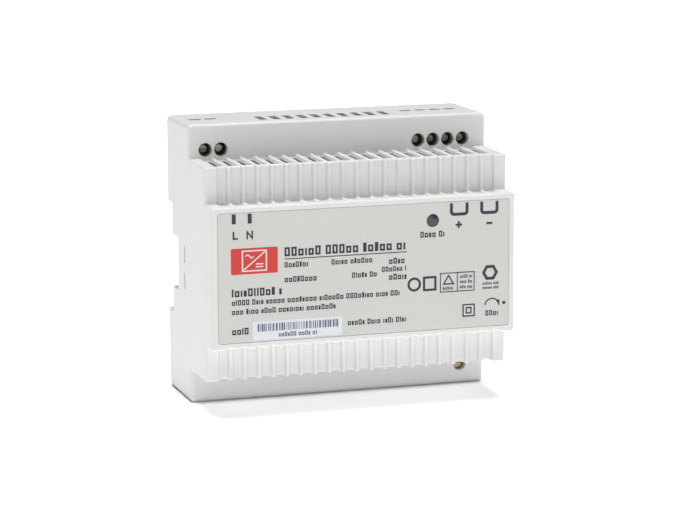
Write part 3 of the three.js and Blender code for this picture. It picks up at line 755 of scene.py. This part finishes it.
def notch_cutter():
    """The way for the rail through both side walls, with rounded outer edges."""
    outline = [
        Vector(p)
        for p in (
            (REAR + 1, CHANNEL_LOW),
            (SEAT, CHANNEL_LOW),
            (SEAT, RECESS_LOW),
            (RECESS, RECESS_LOW),
            (RECESS, RECESS_HIGH),
            (SEAT, RECESS_HIGH),
            (SEAT, CHANNEL_HIGH),
            (REAR + 1, CHANNEL_HIGH),
        )
    ]
    sections = []
    levels = rounded_levels(HALF, 1, 0.4, 4.0)
    for x, grow in [(-x, g) for x, g in reversed(levels)] + levels:
        sections.append([(x, p.x, p.y) for p in shrunk(outline, -grow)])
    return loft(sections)


def wall_holes():
    """The vents, screw and wire holes, snap windows and adjuster's hole through the case's walls."""
    holes = []
    vent = rounded_outline(VENT_HALF, (VENT_BACK - VENT_FRONT) / 2, 0.35)
    vent_y = (VENT_FRONT + VENT_BACK) / 2
    for k in range(VENTS):
        x = VENT_CENTRE + (k - (VENTS - 1) / 2) * VENT_PITCH
        holes.append(plug("z", (x, vent_y), vent, rounded_levels(HEIGHT, 1, 0.25, WALL + 1)))
        holes.append(plug("z", (x, vent_y), vent, rounded_levels(0, -1, 0.25, WALL + 1)))
    screw = circle(SCREW_HOLE, 8)
    wire = rounded_outline(*WIRE_HALF, 0.4)
    for x in POLES["input"] + POLES["output"]:
        holes.append(plug("y", (x, POLE_Z), screw, rounded_levels(SHOULDER, -1, 0.2, WALL + 0.5)))
        holes.append(plug("z", (x, WIRE_Y), wire, rounded_levels(HEIGHT, 1, 0.25, WALL + 1)))
    snap = rounded_outline(0.7, 2.6, 0.3)
    for side in (-1, 1):
        for z in SNAP_HEIGHTS:
            levels = rounded_levels(side * HALF, side, 0.2, WALL + 1)
            holes.append(plug("x", (SNAP_Y, z), snap, levels))
    levels = rounded_levels(SHOULDER, -1, 0.25, WALL + 0.5)
    holes.append(plug("y", (TRIM_X, TRIM_Z), circle(TRIM_HOLE, 8), levels))
    return holes


def step_slots():
    """The narrow vents in the channels of the upper and lower steps."""
    slots = []
    half = 0.65
    front, back = CHEST + 3.4, SHOULDER - 1.2
    outline = rounded_outline(half, (back - front) / 2, 0.3, 3)
    for x in flute_centres():
        at = (x + FLUTE_HALF - 0.2 - half, (front + back) / 2)
        slots.append(plug("z", at, outline, [(CHEST_HIGH - WALL - 0.5, 0), (CHEST_HIGH - 0.6, 0)]))
        slots.append(plug("z", at, outline, [(CHEST_LOW + 0.3, 0), (CHEST_LOW + WALL + 0.5, 0)]))
    return slots


def label_outline(wider):
    """The label's centre, and its outline made wider on all sides."""
    centre = ((LABEL_LEFT + LABEL_RIGHT) / 2, (LABEL_LOW + LABEL_HIGH) / 2)
    half_x = (LABEL_RIGHT - LABEL_LEFT) / 2 + wider
    half_z = (LABEL_HIGH - LABEL_LOW) / 2 + wider
    return centre, rounded_outline(half_x, half_z, 1.0, 8)


def label_recess():
    centre, outline = label_outline(0.2)
    return plug("y", centre, outline, rounded_levels(FRONT, -1, 0.12, 0.7))


def make_housing():
    stations = housing_stations()
    sections = []
    for x, *shape in stations:
        sections.append([(x, p.x, p.y) for p in housing_profile(*shape)])
    shell = mesh_object("housing_shell", *loft(sections))
    room = prism("x", room_outline(), -HALF + WALL, HALF - WALL)
    (latch_left, latch_right), _, _ = spans("rail_latch")
    latch_way = block(latch_left - 0.3, latch_right + 0.3, LATCH_WAY_FRONT, REAR + 1,
                      -1, WALL + 0.5)
    levels = [(FRONT - 1, 0), (FRONT + WALL + 1, 0)]
    pipe_hole = plug("y", (PIPE_X, PIPE_Z), circle(PIPE_HOLE, 8), levels)
    carve(shell, [[room], wall_holes(), [notch_cutter()], [latch_way], [label_recess()],
                  [pipe_hole], step_slots()])
    return finished(flattened(shell), "case_plastic", ["front_housing"])


# ------ label and print

INK_LIFT = 0.03


class Print:
    """Flat printed shapes on the label, collected and made into one mesh per ink."""

    def __init__(self, back):
        self.back = back
        self.shapes = []

    def add(self, outline):
        self.shapes.append(prism("y", outline, self.back - INK_LIFT, self.back))

    def bar(self, x0, x1, z0, z1):
        self.add([(x0, z0), (x1, z0), (x1, z1), (x0, z1)])

    def rounded(self, x0, x1, z0, z1, radius):
        outline = rounded_outline((x1 - x0) / 2, (z1 - z0) / 2, radius)
        cx, cz = (x0 + x1) / 2, (z0 + z1) / 2
        self.add([(cx + u, cz + v) for u, v in outline(0)])

    def stroke(self, path, width):
        """A line of even width through the points, with mitred corners."""
        points = [Vector(p) for p in path]
        left, right = [], []
        for k, point in enumerate(points):
            before = (point - points[k - 1]).normalized() if k else None
            after = (points[k + 1] - point).normalized() if k + 1 < len(points) else None
            ahead = ((before or after) + (after or before)).normalized()
            side = Vector((-ahead.y, ahead.x))
            along = after or before
            spread = width / 2 / max(0.4, side.dot(Vector((-along.y, along.x))))
            left.append(point + side * spread)
            right.append(point - side * spread)
        self.add([tuple(p) for p in left + right[::-1]])

    def ring(self, x, z, radius, width, start=0.0, stop=360.0, steps=40):
        angles = [math.radians(start + (stop - start) * k / steps) for k in range(steps + 1)]
        self.stroke([(x + radius * math.cos(a), z + radius * math.sin(a)) for a in angles], width)

    def closed(self, points, width):
        """A closed outline drawn as separate mitred sides."""
        outer = shrunk([Vector(p) for p in points], -width / 2)
        inner = shrunk([Vector(p) for p in points], width / 2)
        count = len(points)
        for k in range(count):
            n = (k + 1) % count
            self.add([tuple(p) for p in (outer[k], outer[n], inner[n], inner[k])])

    def row(self, x0, x1, z0, z1, words=(3, 9)):
        """A line of small plain boxes in word-long groups, in the place of a line of text."""
        tall = z1 - z0
        thick = tall * 0.21
        x = x0
        left = random.randint(*words)
        while x < x1 - thick:
            kind = random.choice(("box", "box", "box", "bar", "solid"))
            wide = min(thick if kind == "bar" else tall * 0.6, x1 - x)
            top = z1 if random.random() < 0.35 else z0 + tall * 0.76
            if kind in ("bar", "solid") or wide < 2.4 * thick:
                self.bar(x, x + min(wide, tall * 0.4), z0, top)
            else:
                self.bar(x, x + thick, z0, top)
                self.bar(x + wide - thick, x + wide, z0, top)
                for z in (z0, top - thick):
                    self.bar(x + thick, x + wide - thick, z, z + thick)
            x += min(wide, tall * 0.4) if kind == "solid" else wide
            x += thick * 0.8
            left -= 1
            if left == 0:
                x += tall * 0.4
                left = random.randint(*words)

    def piece(self, name, material):
        obj = mesh_object(name, *merged(self.shapes))
        return finished(obj, material)


def terminal_marks(ink):
    """Strokes under the terminals: bars at the input, open brackets at the output, and signs."""
    ink.bar(-43.5, -42.2, 62.3, 65.4)
    ink.bar(-38.4, -37.1, 62.3, 65.4)
    letter = 0.56
    ink.stroke([(-43.0, 60.0), (-43.0, 57.7), (-41.6, 57.7)], letter)
    ink.stroke([(-38.6, 57.4), (-38.6, 59.7), (-37.0, 57.7), (-37.0, 60.0)], letter)
    for left, right in ((28.5, 33.75), (38.7, 43.9)):
        turn = [math.pi * (1 + k / 8) for k in range(5)]
        low, high, r = 61.6, 65.2, 0.9
        path = [(left, high)]
        path += [(left + r + r * math.cos(a), low + r + r * math.sin(a)) for a in turn]
        path += [(right - r - r * math.cos(a), low + r + r * math.sin(a)) for a in reversed(turn)]
        path += [(right, high)]
        ink.stroke(path, 1.0)
    ink.bar(29.9, 32.1, 57.85, 58.55)
    ink.bar(30.65, 31.35, 57.1, 57.86)
    ink.bar(30.65, 31.35, 58.54, 59.3)
    ink.bar(40.3, 42.4, 57.85, 58.55)


def text_rows(ink):
    """Rows of plain boxes where the label has its lines of text."""
    for x0, x1, z0, z1, words in (
        (18.1, 26.8, 54.7, 56.6, (2, 4)),
        (-26.6, 13.1, 51.3, 54.2, (5, 6)),
        (-26.6, -19.0, 47.8, 49.5, (9, 9)),
        (-11.3, 3.3, 47.8, 49.5, (5, 9)),
        (7.7, 13.5, 46.9, 48.8, (5, 5)),
        (5.3, 13.5, 44.5, 46.1, (6, 6)),
        (-26.6, -16.0, 43.1, 44.9, (9, 9)),
        (-4.6, 4.0, 43.2, 44.9, (4, 5)),
        (7.7, 13.5, 41.8, 43.7, (5, 5)),
        (-43.7, -27.6, 39.4, 41.9, (10, 10)),
        (-43.7, 11.6, 36.7, 38.4, (3, 8)),
        (-43.7, -9.6, 33.8, 35.5, (3, 8)),
        (-43.7, -38.3, 27.4, 29.5, (4, 4)),
        (-6.0, 13.3, 28.1, 29.8, (3, 7)),
        (40.2, 45.0, 28.2, 29.9, (4, 4)),
    ):
        ink.row(x0, x1, z0, z1, words)
    ink.bar(-26.6, 13.6, 50.35, 50.65)


def plain_marks(ink):
    """Plain outlines where the label has its approval marks, and the adjuster's arrow."""
    ink.ring(16.1, 39.8, 1.9, 0.75)
    ink.closed([(19.4, 37.8), (23.2, 37.8), (23.2, 41.8), (19.4, 41.8)], 0.75)
    ink.closed([(24.9, 36.8), (36.3, 36.8), (36.3, 42.8), (24.9, 42.8)], 0.32)
    ink.bar(30.45, 30.75, 36.96, 42.64)
    ink.closed([(26.0, 39.3), (29.3, 39.3), (27.65, 42.0)], 0.45)
    ink.row(25.7, 29.8, 37.5, 38.4, (5, 6))
    for low in (37.6, 39.3, 41.0):
        ink.row(31.5, 35.6, low, low + 1.0, (3, 5))
    hexagon = [math.radians(60 * k) for k in range(6)]
    ink.closed([(41.7 + 2.2 * math.cos(a), 42.2 + 2.2 * math.sin(a)) for a in hexagon], 0.95)
    ink.row(39.2, 44.6, 38.3, 39.2, (5, 6))
    ink.row(39.2, 44.6, 36.9, 37.8, (5, 6))
    ink.closed([(32.6, 28.5), (36.4, 28.5), (36.4, 32.2), (32.6, 32.2)], 0.45)
    ink.closed([(33.7, 29.5), (35.3, 29.5), (35.3, 31.2), (33.7, 31.2)], 0.45)
    ink.ring(42.4, 31.3, 2.4, 0.42, 35, 170, 20)
    ink.add([(43.8, 33.1), (45.0, 33.3), (44.9, 31.0)])
    ink.ring(46.5, 32.1, 0.28, 0.55, steps=16)


def converter_symbol(ink):
    """A plain sign for a converter on the red block: a square, a diagonal, a wave, two lines."""
    left, right, low, high = -40.2, -32.5, 47.4, 53.7
    ink.closed([(left, low), (right, low), (right, high), (left, high)], 0.45)
    ink.stroke([(left + 0.4, low + 0.4), (right - 0.4, high - 0.4)], 0.4)
    wave = [k / 12 for k in range(13)]
    ink.stroke([(left + 1.0 + 2.6 * t, 52.0 + 0.5 * math.sin(2 * math.pi * t)) for t in wave], 0.4)
    ink.bar(-35.9, -33.5, 49.3, 49.7)
    ink.bar(-35.9, -33.5, 48.4, 48.8)


def make_label():
    centre, outline = label_outline(0.12)
    levels = [(LABEL_BACK, 0), (LABEL_FRONT + 0.06, 0)]
    levels += [(LABEL_FRONT + 0.02, -0.02), (LABEL_FRONT, -0.06)]
    sheet = mesh_object("label_sheet", *plug("y", centre, outline, levels))
    levels = [(FRONT - 1, 0), (FRONT + 1, 0)]
    carve(sheet, [[plug("y", (PIPE_X, PIPE_Z), circle(PIPE_HOLE, 10), levels)]])
    finished(sheet, "label_film", ["front_label"])

    dark = Print(LABEL_FRONT)
    terminal_marks(dark)
    text_rows(dark)
    plain_marks(dark)
    dark.piece("label_print_dark", "ink_dark")

    red = Print(LABEL_FRONT)
    red.rounded(-43.9, -28.8, 46.4, 54.6, 0.5)
    red.piece("label_print_red", "ink_red")
    white = Print(LABEL_FRONT - INK_LIFT)
    converter_symbol(white)
    white.piece("label_print_white", "ink_white")

    sticker = Print(LABEL_FRONT)
    sticker.rounded(-37.0, -7.8, 25.3, 31.2, 0.4)
    sticker.piece("serial_sticker", "sticker")
    bars = Print(LABEL_FRONT - INK_LIFT)
    x = -35.5
    while x < -9.3:
        wide = random.choice((0.18, 0.3, 0.42, 0.56))
        bars.bar(x, x + wide, 28.0, 30.4)
        x += wide + random.choice((0.22, 0.36, 0.5))
    bars.row(-28.6, -15.7, 26.0, 27.4, (4, 6))
    bars.piece("sticker_print", "sticker_ink")


# ------ small turned and formed pieces

SCREW_HEAD_SHARE = 0.74
RING_RADIUS = 6
RING_SECTION = 2.4


def make_light_pipe():
    _, (front, back), _ = spans("light_pipe")
    r = PIPE_RADIUS
    dome = 0.3
    profile = [(front + dome * (t / 6) ** 2, r * t / 6) for t in range(1, 6)]
    profile = [(front, 0.05)] + profile
    profile += [(front + dome * 0.9, r * 0.97), (front + dome + 0.15, r)]
    profile += [(back - 0.2, r), (back, r - 0.2)]
    pipe = mesh_object("indicator_window", *lathe("y", (PIPE_X, PIPE_Z), profile))
    finished(pipe, "smoked_plastic", ["light_pipe"])


def make_led():
    _, (front, back), _ = spans("status_led")
    bulb, flange = 1.45, 1.9
    turns = [math.pi / 2 * k / 6 for k in range(7)]
    profile = [(front + bulb * (1 - math.cos(t)), max(0.04, bulb * math.sin(t))) for t in turns]
    profile += [(back - 1.5, bulb), (back - 1.45, flange - 0.1), (back - 1.35, flange),
                (back - 0.1, flange), (back, flange - 0.1)]
    led = mesh_object("indicator_led", *lathe("y", (PIPE_X, PIPE_Z), profile))
    finished(led, "led_epoxy", ["status_led"])


def threaded(axis, centre, start, stop, radius, pitch):
    """A shank with ridges at the thread's pitch."""
    profile = []
    at = start
    while at < stop - pitch:
        profile += [(at, radius * 0.86), (at + pitch * 0.45, radius), (at + pitch * 0.6, radius)]
        at += pitch
    profile += [(at, radius * 0.86), (stop - 0.15, radius * 0.86), (stop, radius * 0.7)]
    return lathe(axis, centre, profile, 24)


def make_terminal_screw(side, k):
    name = f"{side}_terminal_screw_{k}"
    (x0, x1), (front, back), tall = spans(name)
    centre = (middle((x0, x1)), middle(tall))
    radius = (x1 - x0) / 2 * SCREW_HEAD_SHARE
    profile = [
        (front, radius * 0.55),
        (front + 0.03, radius * 0.8),
        (front + 0.12, radius * 0.93),
        (front + 0.3, radius),
        (front + 1.35, radius),
        (front + 1.5, radius * 0.94),
    ]
    screw = mesh_object(f"{name}_turned", *lathe("y", centre, profile, 40))
    shank = threaded("y", centre, front + 1.2, back, 1.2, 0.5)
    carve(screw, [[shank]], "UNION")
    slot = block(centre[0] - radius - 1, centre[0] + radius + 1, front - 1, front + 0.8,
                 centre[1] - 0.3, centre[1] + 0.3)
    carve(screw, [[slot]])
    softened(screw, 0.05, 40)
    finished(applied(screw), "screw_steel", [name], f"{side}_screw_{k}")


def make_spring():
    (x0, x1), (y0, y1), (low, high) = spans("latch_spring")
    wire = 0.28
    cx, cy = (x0 + x1) / 2, (y0 + y1) / 2
    radius = (x1 - x0) / 2 - wire
    turns, per_turn, flat_turn = 7.0, 28, 0.75
    path = []
    total = int(turns * per_turn)
    for k in range(total + 1):
        t = k / total
        risen = max(0.0, min(1.0, (t * turns - flat_turn) / (turns - 2 * flat_turn)))
        lift = 0.5 * risen * risen * (3 - 2 * risen) + 0.5 * risen
        angle = 2 * math.pi * turns * t
        z = low + wire + (high - low - 2 * wire) * lift
        path.append((cx + radius * math.cos(angle), cy + radius * math.sin(angle), z))
    spring = mesh_object("latch_spring_coil", *tube(path, wire, 10))
    finished(spring, "spring_steel", ["latch_spring"])
    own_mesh(spring)


def make_can(name):
    """An electrolytic capacitor: sleeved can with a rolled groove and a scored end."""
    (x0, x1), (front, back), tall = spans(name)
    centre = (middle((x0, x1)), middle(tall))
    r = (x1 - x0) / 2
    groove = back - 3.2
    profile = [
        (front + 0.35, 0.1),
        (front + 0.35, r * 0.78),
        (front + 0.1, r * 0.84),
        (front, r * 0.9),
        (front + 0.15, r * 0.97),
        (front + 0.6, r),
        (groove - 0.8, r),
        (groove - 0.35, r * 0.95),
        (groove, r * 0.92),
        (groove + 0.35, r * 0.95),
        (groove + 0.8, r),
        (back - 0.5, r),
        (back - 0.1, r * 0.96),
        (back, r * 0.9),
    ]
    can = mesh_object(f"{name}_can", *lathe("y", centre, profile, 56))
    score = []
    reach = r * 0.6
    for turn in (math.radians(45), math.radians(135)):
        along = Vector((math.cos(turn), math.sin(turn)))
        across = Vector((-along.y, along.x)) * 0.18
        outline = [tuple(Vector(centre) + s * along * reach + c * across)
                   for s, c in ((-1, -1), (1, -1), (1, 1), (-1, 1))]
        score.append([prism("y", outline, front - 0.5, front + 0.6)])
    carve(can, score)
    finished(can, "can_sleeve", [name])


def ring_point(centre, u, v, section, along, around):
    """A point on a torus in the plane of u and v."""
    outward = u * math.cos(along) + v * math.sin(along)
    reach = RING_RADIUS + section * math.cos(around)
    return centre + outward * reach + u.cross(v) * section * math.sin(around)


def make_ring_core(name, u, v):
    """A powder core with a slightly squared section and soft edges."""
    centre = Vector([middle(pair) for pair in spans(name)])
    sections = []
    for k in range(64):
        along = 2 * math.pi * k / 64
        ring = []
        for s in range(20):
            around = 2 * math.pi * s / 20
            square = 1 + 0.09 * (1 - math.cos(4 * around)) / 2
            ring.append(ring_point(centre, u, v, RING_SECTION * square / 1.09, along, around))
        sections.append(ring)
    core = mesh_object(f"{name}_ring", *loft(sections, closed=True))
    finished(core, "ferrite", [name])
    return centre


def make_ring_winding(name, centre, u, v, start, stop, wire):
    """Turns of round wire side by side round a ring core."""
    inner = RING_RADIUS - RING_SECTION - wire
    turns = int((stop - start) * inner / (wire * 2.15))
    per_turn = 18
    total = turns * per_turn
    path = []
    for k in range(total + 1):
        along = start + (stop - start) * k / total
        around = math.pi + 2 * math.pi * k / per_turn
        path.append(ring_point(centre, u, v, RING_SECTION + wire * 1.15, along, around))
    obj = mesh_object(f"{name}_turns", *tube(path, wire, 8))
    finished(obj, "copper_wire", [name], angle=60)


def make_fuse():
    (x0, x1), (y0, y1), (z0, z1) = spans("input_fuse")
    cx = (x0 + x1) / 2
    cy = y0 + 2.6
    glass = [(z0 + 2, 2.0), (z0 + 2.2, 2.3), (z1 - 2.2, 2.3), (z1 - 2, 2.0)]
    tube_obj = mesh_object("input_fuse_glass", *lathe("z", (cx, cy), glass))
    finished(tube_obj, "fuse_glass", ["input_fuse"])
    caps = []
    for a, b in ((z0, z0 + 4.5), (z1, z1 - 4.5)):
        s = 1 if b > a else -1
        profile = [(a, 1.9), (a + 0.1 * s, 2.35), (a + 0.4 * s, 2.6), (b - 0.5 * s, 2.6),
                   (b - 0.3 * s, 2.52), (b, 2.58)]
        caps.append(lathe("z", (cx, cy), profile))
    for z in (z0 + 2, z1 - 2):
        caps.append(block(cx - 0.6, cx + 0.6, cy + 2.2, y1, z - 0.5, z + 0.5))
    cap_obj = mesh_object("input_fuse_caps", *merged(caps))
    finished(cap_obj, "plated_brass")
    wire = []
    for k in range(13):
        z = z0 + 3.5 + (z1 - z0 - 7) * k / 12
        wire.append((cx + 0.25 * math.sin(k), cy + 0.2 * math.cos(k * 1.3), z))
    wire_obj = mesh_object("input_fuse_wire", *tube(wire, 0.12, 8))
    finished(wire_obj, "spring_steel")


def make_disc(name):
    """A dipped disc with a rounded rim, on two bent legs."""
    (x0, x1), (y0, y1), (z0, z1) = spans(name)
    thick, radius = (x1 - x0), (z1 - z0) / 2
    cx, cz = (x0 + x1) / 2, (z0 + z1) / 2
    cy = y0 + radius
    profile = []
    for k in range(9):
        turn = math.pi * k / 8
        bulge = thick / 2 * math.cos(turn)
        profile.append((cx - bulge, radius - thick / 2 * (1 - math.sin(turn)) * 0.8))
    profile = [(cx - thick / 2, 0.1)] + profile + [(cx + thick / 2, 0.1)]
    body = mesh_object(f"{name}_dipped", *lathe("x", (cy, cz), profile))
    finished(body, "disc_ceramic", [name])
    legs = []
    for side in (-1, 1):
        z = cz + side * 2.3 if radius > 4 else cz + side * 1.6
        path = [(cx, cy + radius * 0.5, z - side * 0.4), (cx, cy + radius, z), (cx, y1 - 0.01, z)]
        legs.append(tube(path, 0.3, 10))
    leg_obj = mesh_object(f"{name}_legs", *merged(legs))
    finished(leg_obj, "zinc_steel")


# ------ carried-over CAD nodes


def dress(name, material, width):
    """Gives a carried-over node soft edges and its material; its own mesh isn't changed."""
    obj = nodes[name]
    obj.data.materials.clear()
    obj.data.materials.append(MATERIALS[material])
    weld = obj.modifiers.new("one_skin", "WELD")
    weld.merge_threshold = 1e-6
    flat = obj.modifiers.new("flat_faces", "DECIMATE")
    flat.decimate_type = "DISSOLVE"
    flat.angle_limit = math.radians(2)
    softened(obj, width)
    normals = obj.modifiers.new("shading", "WEIGHTED_NORMAL")
    normals.keep_sharp = True
    return obj


def dress_nodes():
    plan = [
        ("base_plastic", 0.25, ["rear_base"]),
        ("latch_plastic", 0.3, ["rail_latch"]),
        ("block_plastic", 0.15, ["input_terminal_block", "output_terminal_block"]),
        ("board_laminate", 0.08, ["main_board"]),
        ("ivory_plastic", 0.15, ["trimmer_body"]),
        ("ivory_plastic", 0.08, ["trimmer_rotor"]),
        ("yellow_film", 0.6, ["suppression_capacitor"]),
        ("yellow_film", 0.5, ["transformer_winding"]),
        ("aluminium_plate", 0.12, ["primary_heatsink", "secondary_heatsink"]),
        ("black_plastic", 0.2, ["transformer_base"]),
        ("black_plastic", 0.15, ["bridge_rectifier"]),
        ("black_plastic", 0.12, ["switching_transistor", "output_rectifier"]),
        ("black_plastic", 0.08, ["feedback_optocoupler", "controller_chip"]),
        ("ferrite", 0.3, ["transformer_core"]),
        ("zinc_steel", 0.12, ["transistor_screw", "rectifier_screw"]),
        ("zinc_steel", 0.12, [f"board_screw_{k}" for k in (1, 2, 3, 4)]),
    ]
    for side, poles in POLES.items():
        numbers = range(1, len(poles) + 1)
        plan.append(("plated_brass", 0.12, [f"{side}_clamp_cage_{k}" for k in numbers]))
        plan.append(("plated_brass", 0.1, [f"{side}_contact_bar_{k}" for k in numbers]))
    for material, width, names in plan:
        for name in names:
            dress(name, material, width)


# ------ floor


def make_floor():
    """A pale matt table that glows softly as painted light from below, and whose glow is taken away
    close round the foot of the case as a painted contact shadow.
    """
    g = Graph("floor")
    slow = g.noise(300.0, 3.0)
    g.colour(g.ramp(slow, [(0.3, (0.93, 0.93, 0.93)), (0.7, (0.96, 0.96, 0.96))]))
    g.roughness(g.remap(g.noise(2.0), 0.7, 0.85))
    # Painted contact shadow: ambient occlusion takes the painted glow away where the case stands
    # close.
    near = g.add("AmbientOcclusion", {"Distance": 6 * MM}, samples=8)
    painted_glow_and_contact_shadow = g.remap(near.outputs["AO"], 0.0, 0.45, 0.5, 0.9)
    g.link(painted_glow_and_contact_shadow, g.shader.inputs["Emission Strength"])
    g.set(Emission_Color=(1.0, 1.0, 1.0, 1.0))
    half = 4000
    floor = mesh_object("floor", *block(-half, half, -half, half, -5, 0))
    floor.data.materials.append(g.material)


MATERIALS = make_materials()
make_camera()
make_lights()
make_floor()
make_housing()
make_label()
make_light_pipe()
make_led()
for side_name, places in POLES.items():
    for pole in range(1, len(places) + 1):
        make_terminal_screw(side_name, pole)
make_spring()
make_can("bulk_capacitor")
for can_number in (1, 2, 3):
    make_can(f"output_capacitor_{can_number}")
X, Y, Z = Vector((1, 0, 0)), Vector((0, 1, 0)), Vector((0, 0, 1))
choke = make_ring_core("line_choke_core", Y, Z)
make_ring_winding("line_choke_winding_1", choke, Y, Z, 0.6, 2.5, 0.4)
make_ring_winding("line_choke_winding_2", choke, Y, Z, 3.8, 5.7, 0.4)
output_choke = make_ring_core("output_choke_core", X, Z)
make_ring_winding("output_choke_winding", output_choke, X, Z, 0.3, 5.2, 0.5)
make_fuse()
make_disc("inrush_thermistor")
make_disc("safety_capacitor")
dress_nodes()
